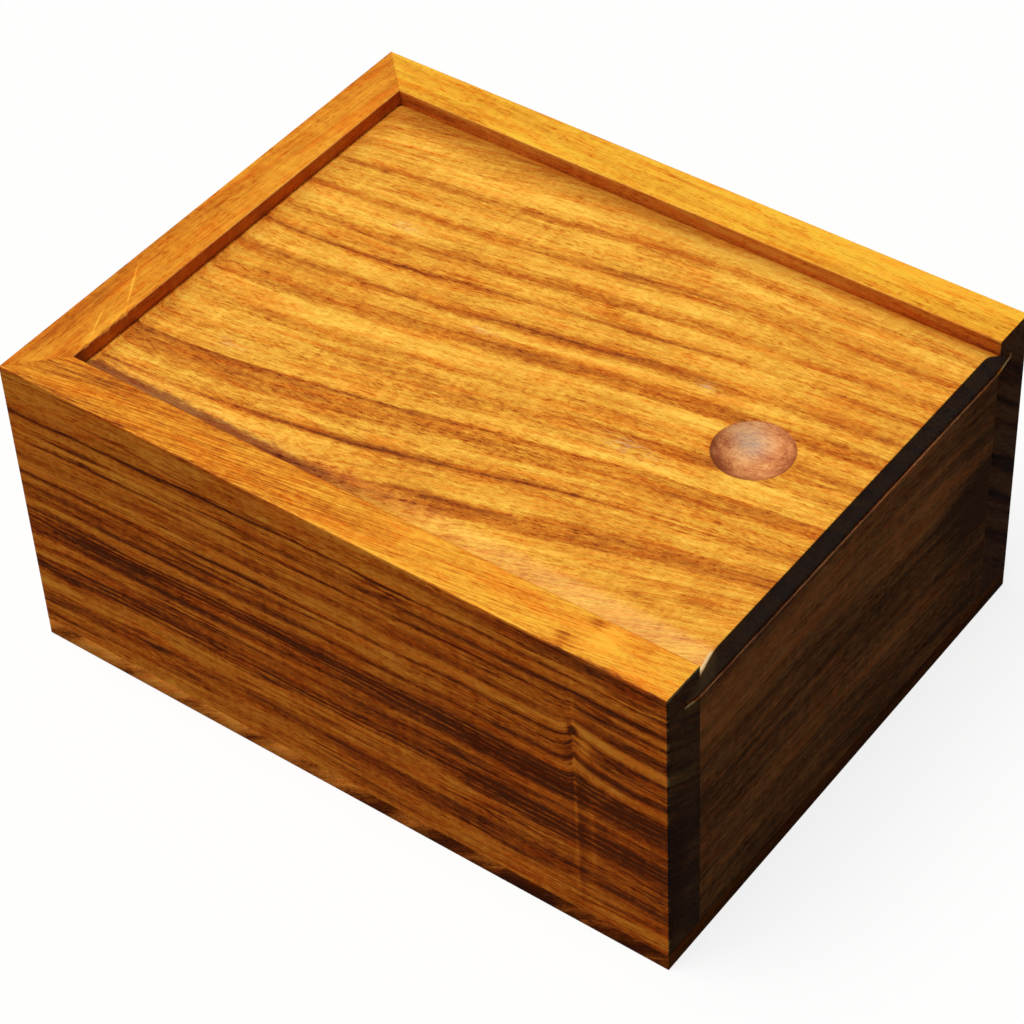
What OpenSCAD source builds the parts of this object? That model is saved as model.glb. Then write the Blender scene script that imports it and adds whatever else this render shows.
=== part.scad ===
// Storage box for chess pieces. Four hardwood walls stand on a thin bottom board, and a sloped
// lid slides in a groove round three of them and out over the lowered front wall.
// Lengths are in millimetres. X runs along the lid's travel, towards the front, Y runs across
// the box and Z points up. The origin is the middle of the underside.

/* [Box] */
// Outside length, along the lid's travel
box_l = 190; // [150:1:260]
// Outside width, across the lid's travel
box_w = 150; // [120:1:220]
// Outside height, from the underside to the rim
box_h = 90; // [75:1:140]
// Thickness of the four walls
wall_t = 12.5; // [11:0.5:18]
// Thickness of the board under the walls
bottom_t = 5; // [4:0.5:10]

/* [Lid] */
// Thickness of the lid at its middle
lid_t = 9.2; // [8.4:0.1:12]
// Depth of the lid's top below the rim
lid_drop = 0.5; // [0:0.1:3]
// Width of the slope along the lid's sides and back
slope_run = 9.9; // [7:0.1:16]
// Height that the slope falls
slope_fall = 6.5; // [4:0.1:7.4]
// Distance that the lid's edges reach into the walls
lid_reach = 4.1; // [2:0.1:6]

/* [Lid groove] */
// Gap under the lid
slide_gap = 0.3; // [0.1:0.05:0.6]
// Gap over the lid's slope, measured upright
slope_gap = 0.9; // [0.3:0.1:1.5]
// Gap past the lid's edge
edge_gap = 1.4; // [0.5:0.1:2.5]
// Height that the groove's floor climbs from the wall's inner face to the groove's end
floor_rise = 1.6; // [0.4:0.1:2.2]

/* [Thumb recess] */
// Diameter of the recess at the lid's top
recess_d = 20; // [14:1:30]
// Depth of the recess at its middle
recess_depth = 4.5; // [2:0.5:6]
// Distance of its middle from the front face
recess_setback = 27.7; // [20:0.1:60]

/* [Back joints] */
// Thickness of the tongue glued across each mitre
spline_t = 3; // [2:0.5:4]
// Width of the tongue, half of it in each wall
spline_w = 10; // [6:1:12]
// Distance of the tongue's middle from the walls' inner faces
spline_inset = 5; // [4:0.5:6]
// Wood left between the tongue's slot and the lid groove
spline_cover = 8; // [4:1:20]

/* [Front joints] */
// Number of dowels in each joint
dowel_count = 3; // [2:1:4]
// Diameter of the dowels
dowel_d = 6; // [4:0.5:8]
// Depth of the dowel holes in the ends of the front wall
dowel_depth = 16; // [10:1:24]
// Wood left between the dowel holes in a side wall and its outer face
dowel_cover = 4; // [3:0.5:6]
// Distance of the end dowels from the front wall's upper and lower edges
dowel_margin = 20; // [18:1:24]
// Room for glue past each end of a dowel
glue_gap = 0.6; // [0.2:0.1:1.5]
// Clearance round dowels and tongues
joint_gap = 0.1; // [0.05:0.05:0.3]

/* [Bottom pins] */
// Diameter of the pins
pin_d = 1.6; // [1.2:0.1:2.4]
// Depth that the pins reach into the walls
pin_grip = 13; // [8:1:15]
// Diameter of the pins' heads
pin_head_d = 3.2; // [2.8:0.1:5]
// Thickness of the pins' heads
pin_head_t = 1.2; // [0.6:0.1:2]
// Depth that the heads are sunk into the bottom board
pin_sink = 0.4; // [0.2:0.1:1]
// Clearance round the pins
pin_gap = 0.05; // [0.02:0.01:0.1]
// Distance of the end pins from the box's corners
pin_margin = 25; // [20:1:45]
// Number of pins into each side wall
side_pins = 4; // [2:1:6]
// Number of pins into the front and into the back wall
end_pins = 3; // [2:1:4]

/* [Hidden] */
// Facets of round shapes in a preview
$fn = 96;
// Distance that a cut runs past the face that it opens
cut = 1;
// Front and near faces, and the walls' inner faces, from the middle of the box
half_l = box_l / 2;
half_w = box_w / 2;
inner_l = half_l - wall_t;
inner_w = half_w - wall_t;
// Heights of the lid's top and underside, and of the front wall's upper edge
lid_top = box_h - lid_drop;
lid_under = lid_top - lid_t;
seat_z = lid_under - slide_gap;
// Depth of the lid groove, and the slopes of the lid's border and of the groove's floor
groove_depth = lid_reach + edge_gap;
border_slope = slope_fall / slope_run;
floor_slope = floor_rise / groove_depth;
// Width of the lid's slope that stays inside the walls
slope_inside = slope_run - lid_reach;
// Radius of the ball that forms the thumb recess
recess_r = (pow(recess_d / 2, 2) + pow(recess_depth, 2)) / (2 * recess_depth);
// Height of the tongues across the mitres
spline_h = seat_z - spline_cover - bottom_t;
// Lines of the wall's middle, where the dowels and the pins stand
mid_l = half_l - wall_t / 2;
mid_w = half_w - wall_t / 2;
// Depth of the dowel holes in a side wall, and the length of a dowel
side_depth = wall_t - dowel_cover;
dowel_l = side_depth + dowel_depth - 2 * glue_gap;
// Heights of the dowels
dowel_low = bottom_t + dowel_margin;
dowel_step = (seat_z - dowel_margin - dowel_low) / (dowel_count - 1);
dowel_heights = [for (i = [0:dowel_count - 1]) dowel_low + i * dowel_step];
// Places of the pins
function spread(reach, count) = [for (i = [0:count - 1]) reach * (2 * i / (count - 1) - 1)];
pin_places = concat(
    [for (x = spread(half_l - pin_margin, side_pins), y = [-mid_w, mid_w]) [x, y]],
    [for (y = spread(half_w - pin_margin, end_pins), x = [-mid_l, mid_l]) [x, y]]
);
// Length of a pin, from the flat of its head to its tip
shank_l = bottom_t - pin_sink + pin_grip;
// Height of the lid's slope, and of the groove's roof and floor, at a depth into the wall
function slope_z(depth) = lid_top - border_slope * (slope_inside + depth);
function roof_z(depth) = slope_z(depth) + slope_gap;
function floor_z(depth) = seat_z + floor_slope * depth;
// Outline of a lid edge that reaches into a wall, from the underside to the top
function lid_edge(inner) = [
    [inner, lid_under],
    [inner + lid_reach, floor_z(lid_reach) + slide_gap],
    [inner + lid_reach, slope_z(lid_reach)],
    [inner - slope_inside, lid_top]
];
// Outline of the lid's square front edge, and the mirror image of an outline, in reverse order
lid_front = [[half_l, lid_under], [half_l, lid_top]];
function mirrored(points) = [for (i = [len(points) - 1:-1:0]) [-points[i][0], points[i][1]]];
// Colours
lid_colour = [0.80, 0.54, 0.16];
side_colour = [0.62, 0.36, 0.11];
end_colour = [0.50, 0.27, 0.09];
bottom_colour = [0.44, 0.24, 0.10];
peg_colour = [0.80, 0.66, 0.46];
steel_colour = [0.60, 0.60, 0.62];

// Section of a grooved wall: the first axis is the depth behind the inner face, the second height
module wall_section() {
    difference() {
        translate([0, bottom_t])
            square([wall_t, box_h - bottom_t]);
        polygon([
            [-cut, floor_z(-cut)],
            [groove_depth, floor_z(groove_depth)],
            [groove_depth, roof_z(groove_depth)],
            [-cut, roof_z(-cut)]
        ]);
    }
}

// Run of a section along Y, centred, with the section's first axis along +X
module run_along_y(length) {
    translate([0, length / 2, 0])
        rotate([90, 0, 0])
            linear_extrude(height = length)
                children();
}

// Run of a section along X, centred, with the section's first axis along +Y
module run_along_x(length) {
    rotate([0, 0, 90])
        run_along_y(length)
            children();
}

// Upright prism over a plan, as high as the box
module prism(plan) {
    linear_extrude(height = box_h)
        polygon(plan);
}

// Tongue of one back mitre, or its slot: it stands square to the mitre, half in each wall
module tongue(gap) {
    translate([-inner_l - spline_inset, inner_w + spline_inset, bottom_t])
        rotate([0, 0, 45])
            translate([-spline_w / 2 - gap, -spline_t / 2 - gap, 0])
                cube([spline_w + 2 * gap, spline_t + 2 * gap, spline_h + gap]);
}

// Dowels of one front joint, or their holes
module dowel_row(diameter, length, start) {
    for (z = dowel_heights)
        translate([mid_l, start, z])
            rotate([-90, 0, 0])
                cylinder(d = diameter, h = length);
}

// Dowel holes of one front joint, in the side wall and in the front wall
module dowel_holes() {
    dowel_row(dowel_d + 2 * joint_gap, side_depth + dowel_depth, inner_w - dowel_depth);
}

// Holes that the pins' shanks fill in the bottom board and the walls
module shank_holes() {
    for (p = pin_places)
        translate([p[0], p[1], -cut])
            cylinder(d = pin_d + 2 * pin_gap, h = cut + pin_sink + shank_l + pin_gap);
}

// Side wall on the +Y side
module side_wall() {
    difference() {
        intersection() {
            translate([0, inner_w, 0])
                run_along_x(box_l)
                    wall_section();
            prism([[-half_l, half_w], [-inner_l, inner_w], [half_l, inner_w], [half_l, half_w]]);
        }
        tongue(joint_gap);
        dowel_holes();
        shank_holes();
    }
}

module near_side() {
    color(side_colour)
        mirror([0, 1, 0])
            side_wall();
}

module far_side() {
    color(side_colour)
        side_wall();
}

module back_end() {
    color(end_colour)
        difference() {
            intersection() {
                mirror([1, 0, 0])
                    translate([inner_l, 0, 0])
                        run_along_y(box_w)
                            wall_section();
                prism([[-half_l, -half_w], [-inner_l, -inner_w], [-inner_l, inner_w], [-half_l, half_w]]);
            }
            tongue(joint_gap);
            mirror([0, 1, 0])
                tongue(joint_gap);
            shank_holes();
        }
}

module front_end() {
    color(end_colour)
        difference() {
            translate([inner_l, -inner_w, bottom_t])
                cube([wall_t, 2 * inner_w, seat_z - bottom_t]);
            dowel_holes();
            mirror([0, 1, 0])
                dowel_holes();
            shank_holes();
        }
}

module bottom_board() {
    color(bottom_colour)
        difference() {
            translate([-half_l, -half_w, 0])
                cube([box_l, box_w, bottom_t]);
            shank_holes();
            for (p = pin_places)
                translate([p[0], p[1], -cut])
                    cylinder(d = pin_head_d + 2 * pin_gap, h = cut + pin_sink + pin_head_t);
        }
}

module lid() {
    color(lid_colour)
        difference() {
            intersection() {
                run_along_x(box_l)
                    polygon(concat(lid_edge(inner_w), mirrored(lid_edge(inner_w))));
                run_along_y(box_w)
                    polygon(concat(lid_front, mirrored(lid_edge(inner_l))));
            }
            translate([half_l - recess_setback, 0, lid_top - recess_depth + recess_r])
                sphere(r = recess_r);
        }
}

module near_spline() {
    color(peg_colour)
        mirror([0, 1, 0])
            tongue(0);
}

module far_spline() {
    color(peg_colour)
        tongue(0);
}

module near_dowels() {
    color(peg_colour)
        mirror([0, 1, 0])
            far_dowels();
}

module far_dowels() {
    color(peg_colour)
        dowel_row(dowel_d, dowel_l, inner_w - dowel_depth + glue_gap);
}

module bottom_pins() {
    color(steel_colour)
        for (p = pin_places)
            translate([p[0], p[1], pin_sink]) {
                cylinder(d = pin_d, h = shank_l);
                cylinder(d = pin_head_d, h = pin_head_t);
            }
}

near_side();
far_side();
back_end();
front_end();
bottom_board();
lid();
near_spline();
far_spline();
near_dowels();
far_dowels();
bottom_pins();
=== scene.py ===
import logging
import math
from dataclasses import dataclass
from enum import Enum
from functools import reduce
from typing import Any, Callable, Mapping, NamedTuple, Optional, Sequence, Union

import bpy
import numpy as np
from mathutils import Matrix, Vector


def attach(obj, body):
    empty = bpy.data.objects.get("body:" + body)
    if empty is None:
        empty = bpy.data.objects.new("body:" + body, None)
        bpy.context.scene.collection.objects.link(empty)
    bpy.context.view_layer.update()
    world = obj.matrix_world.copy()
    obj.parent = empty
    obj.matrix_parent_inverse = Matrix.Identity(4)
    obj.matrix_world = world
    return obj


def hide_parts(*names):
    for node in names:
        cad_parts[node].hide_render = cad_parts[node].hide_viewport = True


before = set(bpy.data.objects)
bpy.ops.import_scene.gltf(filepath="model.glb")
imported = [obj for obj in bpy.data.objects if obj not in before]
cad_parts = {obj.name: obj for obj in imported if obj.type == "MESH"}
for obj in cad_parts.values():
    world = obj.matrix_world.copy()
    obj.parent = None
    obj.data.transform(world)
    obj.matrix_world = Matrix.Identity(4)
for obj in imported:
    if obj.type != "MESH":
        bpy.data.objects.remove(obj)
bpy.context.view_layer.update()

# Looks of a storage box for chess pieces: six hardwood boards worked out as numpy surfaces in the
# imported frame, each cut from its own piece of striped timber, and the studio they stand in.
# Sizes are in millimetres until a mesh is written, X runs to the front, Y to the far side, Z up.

LOG = logging.getLogger("chess_piece_box")
MM = 0.001
SHARP_ANGLE = math.radians(38)
RAMP_LIMIT = 30
MEAN_TONE = 0.28
FAR_AWAY = 1e3

Colour = tuple[float, float, float]
Triple = tuple[float, float, float]
Term = Union["Wire", float]


def high_corner(name: str) -> list[float]:
    """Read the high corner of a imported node.

    Args:
        name: Name of the node.

    Returns:
        Its largest x, y and z, in millimetres to a hundredth.
    """
    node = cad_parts[name]
    corners = np.array([node.matrix_world @ Vector(corner) for corner in node.bound_box])
    return [round(float(v) / MM, 2) for v in corners.max(axis=0)]


# The boards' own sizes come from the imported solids; the groove, the lid and its recess follow them.
HALF_L, HALF_W, BOTTOM = high_corner("bottom_board")
_, INNER_W, SEAT = high_corner("front_end")
HEIGHT = high_corner("near_side")[2]
WALL = HALF_W - INNER_W
INNER_L = HALF_L - WALL
GROOVE_DEPTH = 5.5
GROOVE_FLOOR = SEAT + 1.6
GROOVE_ROOF = SEAT + 2.5
LIP_LOW = HEIGHT - 4.25
LID_TOP = HEIGHT - 0.5
LID_UNDER = SEAT + 0.3
LID_TONGUE = 4.1
RECESS_AT = (HALF_L - 27.7, 0.0)
RECESS_RADIUS = 10.0
WHITE: Colour = (1.0, 1.0, 1.0)


class Lie(Enum):
    """How a board lies in the box: axis, sign and offset of its length, its face and its depth."""

    LID = ((0, 1, 0.0), (1, 1, 0.0), (2, -1, LID_TOP))
    NEAR = ((0, 1, 0.0), (2, 1, 0.0), (1, 1, HALF_W))
    FAR = ((0, 1, 0.0), (2, 1, 0.0), (1, -1, HALF_W))
    BACK = ((1, 1, 0.0), (2, 1, 0.0), (0, 1, HALF_L))
    FRONT = ((1, 1, 0.0), (2, 1, 0.0), (0, -1, HALF_L))
    BASE = ((1, 1, 0.0), (0, 1, 0.0), (2, 1, 0.0))

    def place(self, along: np.ndarray, across: np.ndarray, deep: np.ndarray) -> np.ndarray:
        """Turn board measures into points of the box.

        Args:
            along: Distances along the grain.
            across: Distances across the show face.
            deep: Distances in from the show face.

        Returns:
            An array of the same shape with a last axis of x, y and z.
        """
        parts: dict[int, np.ndarray] = {}
        for (axis, sign, offset), value in zip(self.value, (along, across, deep)):
            parts[axis] = sign * (value - offset)
        return np.stack([parts[0], parts[1], parts[2]], axis=-1)

    def read(self, xyz: Sequence["Wire"]) -> list["Wire"]:
        """Turn shader coordinates into the board's along, across and deep measures."""
        return [xyz[axis] * float(sign) + offset for axis, sign, offset in self.value]


class Weave(Enum):
    """Kinds of noise: cycles in a millimetre along three axes, octaves and their roughness."""

    WAVER = ((1 / 55, 1 / 20, 1 / 20), 1.0, 0.5)
    SAW = ((1 / 5, 0.9, 0.06), 3.0, 0.65)
    SLOW = ((1 / 26, 0.4, 0.06), 2.0, 0.5)
    FADE = ((1 / 45, 1 / 6, 1 / 20), 1.0, 0.5)
    PLACES = ((1 / 28, 1 / 5, 1 / 20), 1.0, 0.5)
    LINES = ((1 / 90, 0.2, 0.03), 6.0, 0.78)
    MOTTLE = ((1 / 3.5, 1.0, 0.3), 3.0, 0.65)
    FIBRE = ((1 / 1.7, 2.6, 2.6), 2.0, 0.7)
    DASH = ((1 / 1.9, 1.8, 1.8), 2.0, 0.5)
    VESSEL = ((1 / 3.4, 0.95, 0.95), 2.0, 0.6)
    FLECK = ((1 / 4.5, 1.3, 1.3), 3.0, 0.6)
    RIM = ((1 / 15, 2.1, 1.0), 2.0, 0.72)
    VEIN = ((1 / 70, 0.34, 0.05), 2.0, 0.5)
    VEIN_PLACES = ((1 / 36, 1 / 7, 1 / 20), 1.0, 0.5)
    RIPPLE = ((1 / 2.2, 1 / 9, 1 / 9), 1.0, 0.5)
    CLOUD = ((1 / 45, 1 / 15, 1 / 15), 2.0, 0.5)
    WARMTH = ((1 / 16, 0.5, 0.06), 3.0, 0.7)
    END_RINGS = ((0.6, 0.08, 1.0), 3.0, 0.7)
    PATCHES = ((0.35, 0.35, 0.35), 2.0, 0.5)
    TURNED = ((2.4, 1.0, 1.0), 2.0, 0.7)
    STAIN = ((0.25, 0.25, 0.25), 3.0, 0.65)
    GAP = ((0.3, 0.3, 0.3), 1.0, 0.5)
    NEAR_SHADOW_EDGE = ((0.3, 1.2, 0.5), 3.0, 0.65)
    SCUFF_AND_SHEEN = ((1 / 4, 1.6, 1.0), 2.0, 0.5)
    DRAWN = ((6.0, 6.0, 0.3), 2.0, 0.5)
    DULLED = ((0.7, 0.7, 0.7), 3.0, 0.5)


class Corner(NamedTuple):
    """One corner of a board's section."""

    deep: float
    up: float
    radius: float
    shows: bool = False


def operator(operation: str, swapped: bool = False) -> Callable[["Wire", Term], "Wire"]:
    """Make one of Wire's operators.

    Args:
        operation: Blender's name for the operation.
        swapped: Whether the wire stands on the right.

    Returns:
        A method that adds the Math node.
    """

    def method(self: "Wire", other: Term) -> "Wire":
        """Join the wire and the other value by the operation."""
        terms = (other, self) if swapped else (self, other)
        return self.shader.math(operation, *terms)

    return method


class Wire:
    """A shader value that Python operators work on; each operation adds one Math node."""

    def __init__(self, shader: "Shader", socket: Optional[bpy.types.NodeSocket]) -> None:
        """Keep the socket and the shader that it belongs to."""
        self.shader = shader
        self.socket = socket

    def __abs__(self) -> "Wire":
        """Size of a value without its sign."""
        return self.shader.math("ABSOLUTE", self, 0.0)

    __add__ = operator("ADD")
    __radd__ = operator("ADD", swapped=True)
    __sub__ = operator("SUBTRACT")
    __rsub__ = operator("SUBTRACT", swapped=True)
    __mul__ = operator("MULTIPLY")
    __rmul__ = operator("MULTIPLY", swapped=True)
    __truediv__ = operator("DIVIDE")
    __rtruediv__ = operator("DIVIDE", swapped=True)
    __pow__ = operator("POWER")
    __rpow__ = operator("POWER", swapped=True)


class Shader:
    """A node tree that is written as Python expressions."""

    def __init__(self, tree: bpy.types.NodeTree) -> None:
        """Start from an empty tree."""
        self.tree = tree
        tree.nodes.clear()

    def node(
        self,
        kind: str,
        settings: Optional[Mapping[str, Any]] = None,
        sockets: Optional[Mapping[Union[str, int], Any]] = None,
        pick: Union[str, int] = 0,
    ) -> Wire:
        """Add one node.

        Args:
            kind: Blender's name for the type of node.
            settings: Attributes, set first; "stops" holds a ramp's positions and colours.
            sockets: Values or wires by the input's name or number.
            pick: The output to hand back, by name or number.

        Returns:
            The chosen output, or an empty wire where the node has none.
        """
        made = self.tree.nodes.new(kind)
        for key, value in (settings or {}).items():
            if key == "stops":
                self._set_stops(made.color_ramp.elements, value)
            else:
                setattr(made, key, value)
        for key, value in (sockets or {}).items():
            if isinstance(value, Wire):
                self.tree.links.new(value.socket, made.inputs[key])
            else:
                made.inputs[key].default_value = value
        return Wire(self, made.outputs[pick] if made.outputs else None)

    @staticmethod
    def _set_stops(elements: Any, stops: Sequence[tuple[float, Colour]]) -> None:
        """Give a ramp its stops.

        Args:
            elements: The ramp's own list of stops.
            stops: Positions and colours, in rising order.
        """
        while len(elements) > 1:
            elements.remove(elements[-1])
        elements[0].position = stops[0][0]
        elements[0].color = (*stops[0][1], 1.0)
        for position, colour in stops[1:]:
            elements.new(position).color = (*colour, 1.0)

    def math(self, operation: str, first: Term, second: Term) -> Wire:
        """Add a Math node for an operator."""
        return self.node("ShaderNodeMath", {"operation": operation}, {0: first, 1: second})

    def most(self, *values: Term) -> Wire:
        """Largest of some values."""
        return reduce(lambda one, other: self.math("MAXIMUM", one, other), values)

    def times(self, first: Any, second: Any) -> Wire:
        """Multiply two vectors or colours part by part."""
        return self.node("ShaderNodeVectorMath", {"operation": "MULTIPLY"}, {0: first, 1: second})

    def scaled(self, vector: Wire, factor: Term) -> Wire:
        """Multiply a vector or colour by one value."""
        return self.node("ShaderNodeVectorMath", {"operation": "SCALE"}, {0: vector, "Scale": factor})

    def join(self, x: Term, y: Term, z: Term) -> Wire:
        """Make a vector of three values."""
        return self.node("ShaderNodeCombineXYZ", None, {0: x, 1: y, 2: z})

    def split(self, vector: Wire) -> list[Wire]:
        """Take a vector apart."""
        parts = self.node("ShaderNodeSeparateXYZ", None, {0: vector}).socket.node.outputs
        return [Wire(self, part) for part in parts]

    def place(self) -> Wire:
        """Place on the object, in millimetres."""
        return self.scaled(self.node("ShaderNodeTexCoord", pick="Object"), 1.0 / MM)

    def attribute(self, name: str) -> Wire:
        """Value that the mesh keeps at its points under a name."""
        return self.node("ShaderNodeAttribute", {"attribute_name": name}, pick="Fac")

    def rise(self, value: Term, low: float, high: float) -> Wire:
        """Climb smoothly from 0 at low to 1 at high."""
        settings = {"interpolation_type": "SMOOTHSTEP"}
        return self.node("ShaderNodeMapRange", settings, {0: value, 1: low, 2: high})

    def noise(self, vector: Wire, weave: Weave) -> Wire:
        """Add smooth noise.

        Args:
            vector: Place in millimetres.
            weave: Kind of noise.

        Returns:
            Values from about -1 to 1.
        """
        per_mm, detail, rough = weave.value
        stretched = self.times(vector, per_mm)
        sockets = {"Vector": stretched, "Scale": 1.0, "Detail": detail, "Roughness": rough}
        return self.node("ShaderNodeTexNoise", None, sockets) * 2.0 - 1.0

    def blend(self, factor: Term, first: Any, second: Any) -> Wire:
        """Mix two colours.

        Args:
            factor: Share of the second colour.
            first: Colour or wire.
            second: Colour or wire.

        Returns:
            The mixed colour.
        """
        # A Mix node takes colours at its inputs 6 and 7 and gives one at its output 2.
        full = [(*c, 1.0) if isinstance(c, tuple) else c for c in (first, second)]
        sockets = {0: factor, 6: full[0], 7: full[1]}
        return self.node("ShaderNodeMix", {"data_type": "RGBA"}, sockets, 2)

    def shade(self, factor: Term, colour: Wire, by: Colour) -> Wire:
        """Multiply a colour by another as far as the factor says."""
        return self.blend(factor, colour, self.times(colour, by))

    def ramp(self, value: Wire, stops: Sequence[tuple[float, Colour]]) -> Wire:
        """Colour by value along a row of stops."""
        return self.node("ShaderNodeValToRGB", {"stops": stops}, {0: value})

    def palette(self, value: Wire, colours: Sequence[Colour]) -> Wire:
        """Colour by value along evenly spaced colours."""
        return self.ramp(value, [(at / (len(colours) - 1), c) for at, c in enumerate(colours)])

    def bump(self, height: Wire, strength: float, distance: float) -> Wire:
        """Normal of a surface that a fine height roughens."""
        sockets = {"Strength": strength, "Distance": distance, "Height": height}
        return self.node("ShaderNodeBump", None, sockets)


def new_material(name: str, paint: Callable[[Shader], Wire]) -> bpy.types.Material:
    """Make a material.

    Args:
        name: Name of the material.
        paint: Adds the nodes to an empty tree and hands back the surface.

    Returns:
        The material.
    """
    made = bpy.data.materials.new(name)
    made.use_nodes = True
    shader = Shader(made.node_tree)
    shader.node("ShaderNodeOutputMaterial", None, {"Surface": paint(shader)})
    return made


def new_object(name: str, data: bpy.types.ID) -> bpy.types.Object:
    """Put an object into the scene.

    Args:
        name: Name of the object.
        data: Its mesh, lamp or camera.

    Returns:
        The object.
    """
    made = bpy.data.objects.new(name, data)
    bpy.context.scene.collection.objects.link(made)
    return made


@dataclass(frozen=True)
class Mark:
    """A soft spot in the timber, an ellipsoid that darkens or lightens what it covers."""

    centre: Triple
    reach: Triple
    tone: float
    turn: float = 0.0

    def weight(self, shader: Shader, place: Wire) -> Wire:
        """Fall off from the centre as exp(-r^2), with r measured in reaches.

        Args:
            shader: Tree to add to.
            place: Position in millimetres.

        Returns:
            1 at the centre and 0 far from it.
        """
        sockets = {
            "Vector": place,
            "Location": self.centre,
            "Rotation": (0.0, 0.0, math.radians(self.turn)),
            "Scale": self.reach,
        }
        local = shader.node("ShaderNodeMapping", {"vector_type": "TEXTURE"}, sockets)
        square = {"operation": "DOT_PRODUCT"}
        away = shader.node("ShaderNodeVectorMath", square, {0: local, 1: local}, "Value")
        return math.e ** (away * -1.0)


@dataclass(frozen=True)
class Drift:
    """How growth lines leave the straight: lean and bow change over the face, sway adds an S."""

    lean: float = 0.0
    lean_change: float = 0.0
    bow: float = 0.0
    bow_change: float = 0.0
    sway: float = 0.0

    def shift(self, shader: Shader, along: Wire, across: Wire) -> Wire:
        """Sideways travel of a growth line at a distance along the board.

        It is lean * s + bow * s^2 + sway * sin(pi s / half length), where s is the distance along,
        the lean falls linearly over the face and the bow with the cube of the height on it.

        Args:
            shader: Tree to add to.
            along: Distance along the grain.
            across: Distance across the face.

        Returns:
            The travel in millimetres.
        """
        level = across - along * self.lean
        lean = level * self.lean_change + self.lean
        bow = level * level * level * self.bow_change + self.bow
        wave = shader.math("SINE", along * (math.pi / HALF_L), 0.0)
        return lean * along + bow * along * along + wave * self.sway


@dataclass(frozen=True)
class Knot:
    """A branch in the board that lifts the growth lines into a peak."""

    along: float
    up: float
    lift: float
    width: float
    tail: float
    height: float

    def shift(self, shader: Shader, along: Wire, across: Wire) -> Wire:
        """Lift of a growth line.

        It is lift * exp(s / width) behind the knot and lift * exp(-s / tail) ahead of it, where s
        is the distance past it, in a bell exp(-u^2) over the height.

        Args:
            shader: Tree to add to.
            along: Distance along the grain.
            across: Distance across the face.

        Returns:
            The lift in millimetres.
        """
        past = along - self.along
        away = shader.most(past * (1.0 / self.tail), past * (-1.0 / self.width))
        level = (across - self.up) / self.height
        return math.e ** (0.0 - away - level * level) * self.lift


class Layers(NamedTuple):
    """Where a point lies: in the box, on its board, and among the growth layers."""

    place: Wire
    along: Wire
    across: Wire
    deep: Wire
    board: Wire
    course: Wire
    growth: Wire


class Grain(NamedTuple):
    """Wires that a finish has at hand when it adds its own marks."""

    at: Layers
    tone: Wire
    fibre: Wire
    pore: Wire
    warm: Wire


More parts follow.
